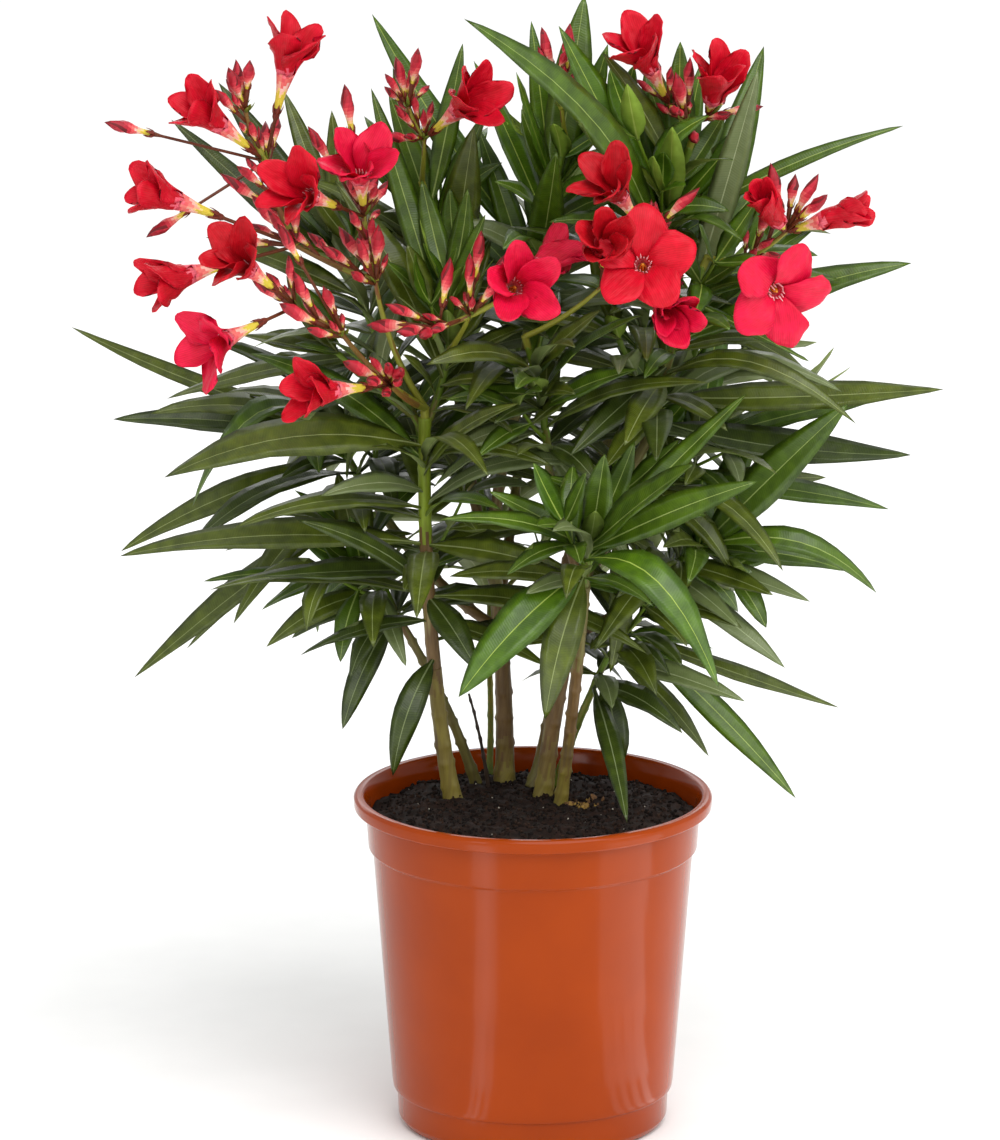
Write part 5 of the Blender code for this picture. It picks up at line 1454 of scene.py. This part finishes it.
# flowers
petalLook = {
    "grid": (10, 10), "thick": 0.4, "ruffle": 1.1, "skew": 0.16,
    # from half open to open: share of the flower's own opening, how much larger, how far each petal strays
    "foot": 0.13, "close": (0.74, 1.0), "larger": (1.1, 1.0), "stray": (0.3, 0.12), "lap": (0.2, 0.24),
    "cup": (0.22, 0.12), "curl": (0.12, 0.3),
    # share of the petal's full breadth, from foot to tip; how far its rounded end reaches down its sides
    "closeWidths": (0.3, 0.46, 0.66, 0.85, 1.0, 1.1, 1.16, 1.18, 1.15, 1.08, 0.95),
    "openWidths": (0.27, 0.37, 0.49, 0.62, 0.75, 0.89, 1.01, 1.1, 1.14, 1.1, 0.98), "round": 0.34,
    # inner face, outer face: two close colours each, dealt out by flower
    "tints": ((("#d60427", "#c1021c"), ("#cb0625", "#b20318")),
              (("#df093e", "#cd0532"), ("#d60e3a", "#c0082b")),
              (("#c3041a", "#aa0212"), ("#b8061b", "#9c0311"))),
}


def slabShape(name, columns, rows):
    # a thin slab over -1..1 across and 0..1 along, as a mesh with each vertex's place on it
    made = bmesh.new()
    bmesh.ops.create_grid(made, x_segments=columns, y_segments=rows, size=1)
    bmesh.ops.translate(made, verts=made.verts, vec=(0, 1, 0))
    bmesh.ops.scale(made, verts=made.verts, vec=(1, 0.5, 1))
    drawn = bmesh.ops.extrude_face_region(made, geom=made.faces[:])["geom"]
    bmesh.ops.translate(made, verts=[item for item in drawn if isinstance(item, bmesh.types.BMVert)],
                        vec=(0, 0, 1))
    bmesh.ops.recalc_face_normals(made, faces=made.faces)
    for face in made.faces:
        face.smooth = True
    strips = [(1 if face.normal.z < -0.5 else 0, *face.calc_center_median()[:2]) for face in made.faces]
    corners = [tuple(vert.co) for vert in made.verts]
    made.loops.layers.uv.new("flow")
    data = meshFrom(made, name)
    loops = [loop.vertex_index for loop in data.loops]
    return {"mesh": data, "corners": corners, "strips": strips, "loops": loops}


petalSlab = slabShape("petal", *petalLook["grid"])


def between(values, share):
    spot = min(max(share, 0), 1) * (len(values) - 1)
    low = min(int(spot), len(values) - 2)
    return values[low] + (values[low + 1] - values[low]) * (spot - low)


def petals(piece, flower, tint, rng):
    # five broad petals that carry on the funnel's flare, each lapping over the next, cupped and ruffled
    facing = flower["facing"]
    side, other = roundAxis(facing, up)
    opened = soften(flower["spread"], 0.8, 1.2)
    spread = flower["spread"] * between(petalLook["close"], opened)
    stray = between(petalLook["stray"], opened)
    size = flower["size"] * between(petalLook["larger"], opened)
    mouth = pointOn(flower["line"], 1)
    apart = 2 * math.sin(math.pi / 5) * (bloom["throat"] + petalStations[0] * size * math.sin(spread))
    broad = min(bloom["broad"] * size, max(apart * 1.15, 20)) / 2
    wrap = 0.8 - 0.4 * opened
    for number in range(5):
        around = 2 * math.pi * number / 5 + flower["turn"] + math.pi / 2
        seed = Vector((rng.uniform(0, 50), rng.uniform(0, 50), 0))
        nod = max(spread, 0.16) * (1 + stray * rng.uniform(-0.8, 1))
        curl = between(petalLook["curl"], opened) * rng.uniform(0.1, 1.4)
        longer = rng.uniform(0.94, 1.06)
        steps = 14
        reaches = [0.0]
        forwards = [0.0]
        bends = [nod * 0.35]
        for step in range(steps):
            share = (step + 0.5) / steps
            bend = nod * (0.35 + 0.72 * soften(share, 0, 0.5)) + curl * soften(share, 0.55, 1.0)
            reaches.append(reaches[-1] + math.sin(bend) / steps)
            forwards.append(forwards[-1] + math.cos(bend) / steps)
            bends.append(bend)
        spots = []
        for across, along, layer in petalSlab["corners"]:
            bend = between(bends, along)
            rounded = 1 - petalLook["round"] * abs(across) ** 2.6 * along
            long = size * longer * rounded * (1 + petalLook["skew"] * across * along)
            widths = (between(petalLook["closeWidths"], along), between(petalLook["openWidths"], along))
            half = broad * between(widths, opened) * across
            radius = bloom["throat"] * 0.9 + between(reaches, along) * long
            turn = around + wrap * half / max(radius, 4.0)
            outward = swung(side, other, turn)
            tangent = facing.cross(outward)
            face = swung(-outward, facing, bend)
            crumple = Vector((across * 1.9, along * 2.4, 0)) + seed
            ruffle = noise.fractal(crumple, 0.7, 2.3, 2) * petalLook["ruffle"]
            lift = between(petalLook["lap"], opened) * half
            lift += between(petalLook["cup"], opened) * abs(half) * across * across * soften(along, 0.1, 0.5)
            lift += ruffle * soften(along, 0.2, 0.7) * 2 * (0.4 + abs(across))
            lift += petalLook["thick"] * (layer - 0.5)
            spot = mouth - facing * 0.9 + outward * radius + facing * between(forwards, along) * long
            spot += tangent * (1 - wrap) * half + face * lift
            spots.append((spot, (half + number * 40, along * size)))
        # outside, the funnel's paler colour runs up the petal's foot in streaks
        finishes = []
        for outer, across, along in petalSlab["strips"]:
            streak = petalLook["foot"] * (1 + 1.2 * noise.noise(Vector((across * 4, number, 0)) + seed))
            finishes.append(tint * 2 + outer if not outer or along > streak else 6)
        stamp(piece, petalSlab, spots, finishes)


# petals: velvety and slightly see-through, lengthwise veins about 0.8 mm apart
def petalFinish(name, pair, roughness):
    material, tree, shader = newFinish(name, {
        "Base Color": linear(pair[0]), "Specular IOR Level": 0.24, "Sheen Weight": 0.02,
        "Sheen Roughness": 0.4, "Subsurface Weight": 0.06, "Subsurface Radius": (0.004, 0.001, 0.001),
        "Subsurface Scale": 1.0,
    })
    flowMap = addNode(tree, "TexCoord").outputs["UV"]
    tone = patchy(tree, shader, flowMap, pair, 7, 3.0, 0.35, roughness)[1]
    veins = addNode(tree, "TexWave", {"bands_direction": "X", "Scale": 0.314 / (1.1 * mm), "Distortion": 2.0,
                                      "Detail": 1.0, "Detail Scale": 0.6}, {"Vector": flowMap})
    dark = addNode(tree, "MapRange", {"From Min": 0.6, "From Max": 1.0, "To Max": 0.35},
                   {"Value": veins.outputs["Fac"]})
    lined = addNode(tree, "Mix", {"data_type": "RGBA", "blend_type": "MULTIPLY", 7: linear("#c8909c")},
                    {0: dark.outputs["Result"], 6: tone})
    tree.links.new(lined.outputs[2], shader.inputs["Base Color"])
    # soft crumples a few millimetres wide, then the veins
    stretched = addNode(tree, "Mapping", {"Scale": (1, 0.4, 1)}, {"Vector": flowMap})
    crumple = addNode(tree, "TexNoise", {"Scale": 1 / (3.5 * mm), "Detail": 1.0},
                      {"Vector": stretched.outputs["Vector"]})
    soft = addNode(tree, "Bump", {"Distance": 1.3 * mm, "Strength": 0.8}, {"Height": crumple.outputs["Fac"]})
    relief = addNode(tree, "Bump", {"Distance": 0.1 * mm, "Strength": 0.5},
                     {"Height": veins.outputs["Fac"], "Normal": soft.outputs["Normal"]})
    tree.links.new(relief.outputs["Normal"], shader.inputs["Normal"])
    return material


petalFinishes = []
for number, (inside, outside) in enumerate(petalLook["tints"]):
    petalFinishes.append(petalFinish("petalInside" + str(number), inside, (0.42, 0.6)))
    petalFinishes.append(petalFinish("petalOutside" + str(number), outside, (0.38, 0.55)))
petalFinishes.append(petalFinish("petalFoot", ("#e04860", "#e66c7a"), (0.42, 0.55)))
shape = bmesh.new()
for name in heads:
    rng = random.Random(name + " petals")
    for flower in flowers[name]:
        petals(shape, flower, rng.choices((0, 1, 2), (0.45, 0.3, 0.25))[0], rng)
finishPiece("petals", shape, petalFinishes, "petal", *heads)

# funnels: stalk, calyx foot, tube and throat in one closed shape, its colours in rings from foot to throat
funnelLook = {
    "sides": 15,
    # ring: distance before the mouth and radius; finish of the band above it
    "rings": (
        (None, 0.95, 0), (-27.0, 0.95, 0), (-25.2, 1.8, 7), (-23.0, 1.9, 7), (-20.0, 1.9, 1), (-16.0, 2.2, 1),
        (-13.5, 2.45, 2), (-11.5, 2.7, 3), (-9.8, 2.95, 3), (-8.2, 3.2, 12), (-6.4, 3.6, 12), (-4.4, 4.0, 14),
        (-2.2, 4.5, 4), (0.0, 4.9, 5), (-0.6, 4.5, 5), (-3.0, 3.7, 4), (-6.5, 2.7, 3), (-10.0, 1.7, 6),
    ),
    # finishes by number, each as two close colours
    "finishes": {
        "redBrownStalk": ("#6a3414", "#54240e"), "yellowTube": ("#d8c43e", "#c9b83a"),
        "creamTube": ("#ecd07c", "#eebf8c"), "blushTube": ("#eca488", "#ecbcb0"),
        "roseTube": ("#e64a5c", "#ec7c84"), "pinkThroat": ("#de1c40", "#e23a58"),
        "amberHeart": ("#dd9420", "#d98b2c"), "darkSepal": ("#742a16", "#581a0c"),
        "fringe": ("#f6c3c6", "#f39aa6"), "budRed": ("#ab1026", "#8c0b1a"), "budDark": ("#7a0b14", "#5a060c"),
        "greenStalk": ("#66761f", "#5a6a1a"), "coralTube": ("#e87a70", "#e06460"),
        "softRed": ("#cb3040", "#ba2232"), "warmRed": ("#e05c5c", "#d84c52"),
        "roseRed": ("#b81a30", "#a61226"),
    },
}
funnelTube = tubeShape("funnel", funnelLook["sides"], [(k + 1) / (len(funnelLook["rings"]) + 1)
                                                         for k in range(len(funnelLook["rings"]))])
sepalTube = tubeShape("sepal", 5, (0.3, 0.7))
budTube = tubeShape("bud", 10, [(k + 1) / 15 for k in range(14)])
smallTube = tubeShape("smallBud", 7, [(k + 1) / 12 for k in range(11)])


def sepals(piece, foot, facing, long, radius, finish, rng, count=5):
    # narrow pointed sepals pressed to the foot of a tube
    side, other = roundAxis(facing, up)
    start = rng.uniform(0, 2)
    for number in range(count):
        around = start + 2 * math.pi * number / count
        outward = swung(side, other, around)
        across = facing.cross(outward)
        tip = foot + facing * long + outward * (radius * 1.8)
        line = lineOf(foot + outward * radius * 0.6, tip, outward * 0.5)
        spots = []
        for corner, level in sepalTube["corners"]:
            share = sepalTube["levels"][level]
            wide = (0.0, 1.2, 0.8, 0.0)[level] * min(1, long / 6)
            angle = 2 * math.pi * corner / 5
            spot = pointOn(line, share) + swung(across, outward * 0.32, angle) * wide
            spots.append((spot, (math.cos(angle) * wide, share * long)))
        stamp(piece, sepalTube, spots, [finish] * len(sepalTube["strips"]))


def funnelOf(piece, flower, rng):
    line = flower["line"]
    length = line["run"].length
    facing = flower["facing"]
    side, other = roundAxis(facing, up)
    mouth = pointOn(line, 1)
    squeeze = min(1, (length - 2) / 26)
    spots = []
    rings = funnelLook["rings"]
    for corner, level in funnelTube["corners"]:
        angle = 2 * math.pi * corner / funnelLook["sides"] + flower["turn"]
        outward = swung(side, other, angle)
        if level == 0:
            along, radius = -length, 0.0
        elif level > len(rings):
            along, radius = -12.5, 0.0
        else:
            along, radius, finish = rings[level - 1]
            along = 1 - length if along is None else along * squeeze
        radius *= 1 + 0.05 * math.cos(5 * angle)
        spots.append((mouth + facing * along + outward * radius, (angle * 3, along)))
    # some strips are a band or two behind, which draws the red out in streaks
    finishes = []
    for strip, ring in funnelTube["strips"]:
        ring -= (2, 0, 1)[strip % 3] if 6 < ring < 14 else 0
        finishes.append(0 if ring == 0 else rings[ring - 1][2])
    stamp(piece, funnelTube, spots, finishes)
    sepals(piece, mouth - facing * 25.0 * squeeze, facing, rng.uniform(7, 9) * max(squeeze, 0.6), 1.6, 7, rng)
    if flower["spread"] < math.radians(38):
        return
    # the fringe round the throat, and the anthers that close it in a cone
    for number in range(15):
        around = 2 * math.pi * number / 15 + flower["turn"] + math.pi / 2
        outward = swung(side, other, around)
        foot = mouth + outward * 4.0 - facing * 0.6
        tip = foot + facing * rng.uniform(2.6, 4.4) + outward * rng.uniform(-1.2, 1.6)
        tip += up * rng.uniform(-0.5, 0.5)
        barkRod(piece, lineOf(foot, tip), taper((0.6, 0.15)), 5, 1.5, 0, [], 8)
    for number in range(5):
        around = 2 * math.pi * number / 5 + flower["turn"]
        outward = swung(side, other, around)
        foot = mouth - facing * 6 + outward * 1.3
        line = lineOf(foot, mouth + facing * 1.6 + outward * 0.2, outward * 0.4)
        barkRod(piece, line, taper((0.7, 0.25)), 6, 1.6, 0, [], 6)


def budOf(piece, blankShape, line, fat, head, bands, rng):
    # a furled bud: thin stalk, red-brown calyx, pale foot and a plump head twisted like a closed umbrella
    length = line["run"].length
    facing = line["run"].normalized()
    side, other = roundAxis(facing, up)
    turn = rng.uniform(0, 2)
    stalk = 1 - min(head / length, 0.86)
    spots = []
    for corner, level in blankShape["corners"]:
        on, radius, finish = bands[level]
        share = stalk * (1 + on) if on < 0 else stalk + (1 - stalk) * on
        angle = 2 * math.pi * corner / blankShape["sides"]
        furl = 1 + (0.14 if corner % 2 else -0.1) * soften(on, 0.3, 0.6)
        wind = angle + turn + 2.0 * soften(on, 0.2, 1.0)
        outward = swung(side, other, wind)
        spot = pointOn(line, share) + outward * (radius if on < 0 else radius * fat) * furl
        spots.append((spot, (angle * fat, share * length)))
    # some strips are a band behind, which draws the red out in streaks, and the strips along the furled edges
    # are dark, a painted shade in the creases where the petals overlap
    finishes = []
    for strip, ring in blankShape["strips"]:
        edge = strip % 5 == 0 and bands[ring][0] > 0.5
        behind = 1 if strip % 3 == 1 and bands[ring][0] > 0.2 else 0
        finishes.append(10 if edge else bands[ring - behind][2])
    stamp(piece, blankShape, spots, finishes)
    calyx = pointOn(line, stalk)
    count = 5 if blankShape is budTube else 3
    sepals(piece, calyx, facing, min(6.5, 1 + head * 0.26), fat * 0.42, 7, rng, count)


# flower tubes: smooth and waxy, yellow at the foot through cream and blush to the petals' red
waxy = {"Specular IOR Level": 0.4, "Subsurface Weight": 0.1, "Subsurface Radius": (0.003, 0.001, 0.001),
        "Subsurface Scale": 1.0}
funnelFinishes = [
    mottled(name, *pair, 4.0, (0.45, 0.6), waxy, bump=(0.5, 0.05), stretch=(1, 0.25, 1), flow=True)
    for name, pair in funnelLook["finishes"].items()
]
shape = bmesh.new()
for name in heads:
    rng = random.Random(name + " funnels")
    for flower in flowers[name]:
        funnelOf(shape, flower, rng)
finishPiece("flowerTubes", shape, funnelFinishes, "petal", *heads)

# buds: the planned ones, and smaller ones crowded at every fork and along the stalks of a head
budLook = {
    "fat": 3.0, "head": 28.0, "small": (12, 24), "large": (26, 38), "shareLarge": 0.32, "atFork": (4, 7),
    "onStalk": 8.0, "tries": 5, "stray": 0.5,
    # ring: place on the stalk (below 0) or on the head (from 0), radius in mm or shares of the fattest,
    # finish above
    "rings": ((-1, 0, 0), (-0.97, 0.85, 0), (-0.05, 0.8, 0), (0.03, 0.45, 7), (0.12, 0.48, 1),
              (0.19, 0.48, 1), (0.25, 0.5, 2), (0.31, 0.55, 3), (0.37, 0.66, 12), (0.43, 0.78, 14),
              (0.49, 0.9, 13), (0.56, 0.97, 15), (0.65, 1.0, 9), (0.78, 0.82, 9), (0.89, 0.48, 10),
              (1, 0, 10)),
    "smallRings": ((-1, 0, 0), (-0.97, 0.8, 0), (0, 0.5, 7), (0.09, 0.48, 1), (0.17, 0.5, 2), (0.24, 0.58, 3),
                   (0.31, 0.7, 12), (0.38, 0.82, 14), (0.45, 0.93, 13), (0.54, 1.0, 15), (0.68, 0.93, 9),
                   (0.86, 0.5, 10), (1, 0, 10)),
    "greenRings": ((-1, 0, 11), (-0.97, 0.8, 11), (0, 0.5, 11), (0.1, 0.5, 11), (0.2, 0.54, 11),
                   (0.3, 0.62, 11), (0.39, 0.74, 1), (0.48, 0.86, 3), (0.56, 0.95, 14), (0.66, 1.0, 15),
                   (0.78, 0.8, 9), (0.9, 0.42, 9), (1, 0, 9)),
}
shape = bmesh.new()
small = 0
for name, plan in heads.items():
    rng = random.Random(name + " buds")
    blooms = [BVHTree.FromPolygons(*bloomMesh(flower)) for flower in flowers[name]]
    for line in buds[name]:
        fat = budLook["fat"] * rng.uniform(0.85, 1.05)
        budOf(shape, budTube, line, fat, budLook["head"], budLook["rings"], rng)
    spots = []
    for number, (line, radii) in enumerate(stalks[name]):
        spots += [(line, 0.96)] * rng.randint(*budLook["atFork"])
        steps = int(line["run"].length / budLook["onStalk"])
        if plan["hubs"][number][0] >= 0:
            spots += [(line, (step + 0.6) / (steps + 0.5)) for step in range(steps)]
        for turn in range(2):
            outward = Vector([rng.uniform(-1, 1) for axis in range(3)])
            sepals(shape, pointOn(line, 0.97), (outward + headingOn(line, 1) * 1.5).normalized(),
                   rng.uniform(5, 9), 0.8, 11, rng, 2)
    for stalk, share in spots:
        spot = pointOn(stalk, share)
        for attempt in range(budLook["tries"]):
            long = rng.uniform(*budLook["large" if rng.random() < budLook["shareLarge"] else "small"])
            toward = headingOn(stalk, share) * 0.9 + up * 0.3
            toward += (spot - Vector(crown["middle"])).normalized() * 0.3
            stray = budLook["stray"] * (1 + attempt * 0.3)
            toward += Vector([rng.uniform(-1, 1) * stray for axis in range(3)])
            line = lineOf(spot, spot + toward.normalized() * long, up * rng.uniform(-1, 1))
            points, faces = rod(lineOf(pointOn(line, 0.3), pointOn(line, 1)), taper((2.0, 1.0)), stalkBlank)
            tree = BVHTree.FromPolygons(points, faces)
            if any(tree.overlap(other) for other in blooms):
                continue
            if meets((points, faces), lambda who, kind: kind == "whole" and who not in ("open space", name)):
                continue
            blooms.append(tree)
            fat = (0.6 + 0.07 * long) * rng.uniform(0.85, 1.15)
            rings = budLook["greenRings" if long < 15 and rng.random() < 0.5 else "smallRings"]
            budOf(shape, smallTube, line, fat, min(long * rng.uniform(0.6, 0.78), 26), rings, rng)
            small += 1
            break
finishPiece("flowerBuds", shape, funnelFinishes, "petal", *heads)
print("small buds:", small)

# stalks of the heads: yellow-green at the foot, red-brown in patches further out
shape = bmesh.new()
for name in heads:
    rng = random.Random(name + " stalks")
    barkRod(shape, lines[name], widths[name], 10, 2.0, 0.1, [], 0)
    for number, (line, radii) in enumerate(stalks[name]):
        bands = ((0.85, 0), (1.0, 1)) if number < 2 else ((0.25, 0), (1.0, 1))
        slim = (radii[0] * 0.85, radii[1] * 0.9)
        barkRod(shape, line, taper(slim), 9, 2.5, 0.1, [(line["run"].length - 1.5, 0.3)], bands)
stalkGreen = barkFinish("headStalk", "#8c8f26", "#7e7c20", "#6f4a18")
stalkRed = barkFinish("headTwig", "#6b3612", "#7a641c", "#4c220c")
finishPiece("headStalks", shape, [stalkGreen, stalkRed], "green_bark", *heads)

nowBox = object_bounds()
sizes = {"cad": [list(corner) for corner in cadBox], "visual": [list(corner) for corner in nowBox]}
print("cad box", [[round(v, 4) for v in corner] for corner in cadBox])
print("visual box", [[round(v, 4) for v in corner] for corner in nowBox])
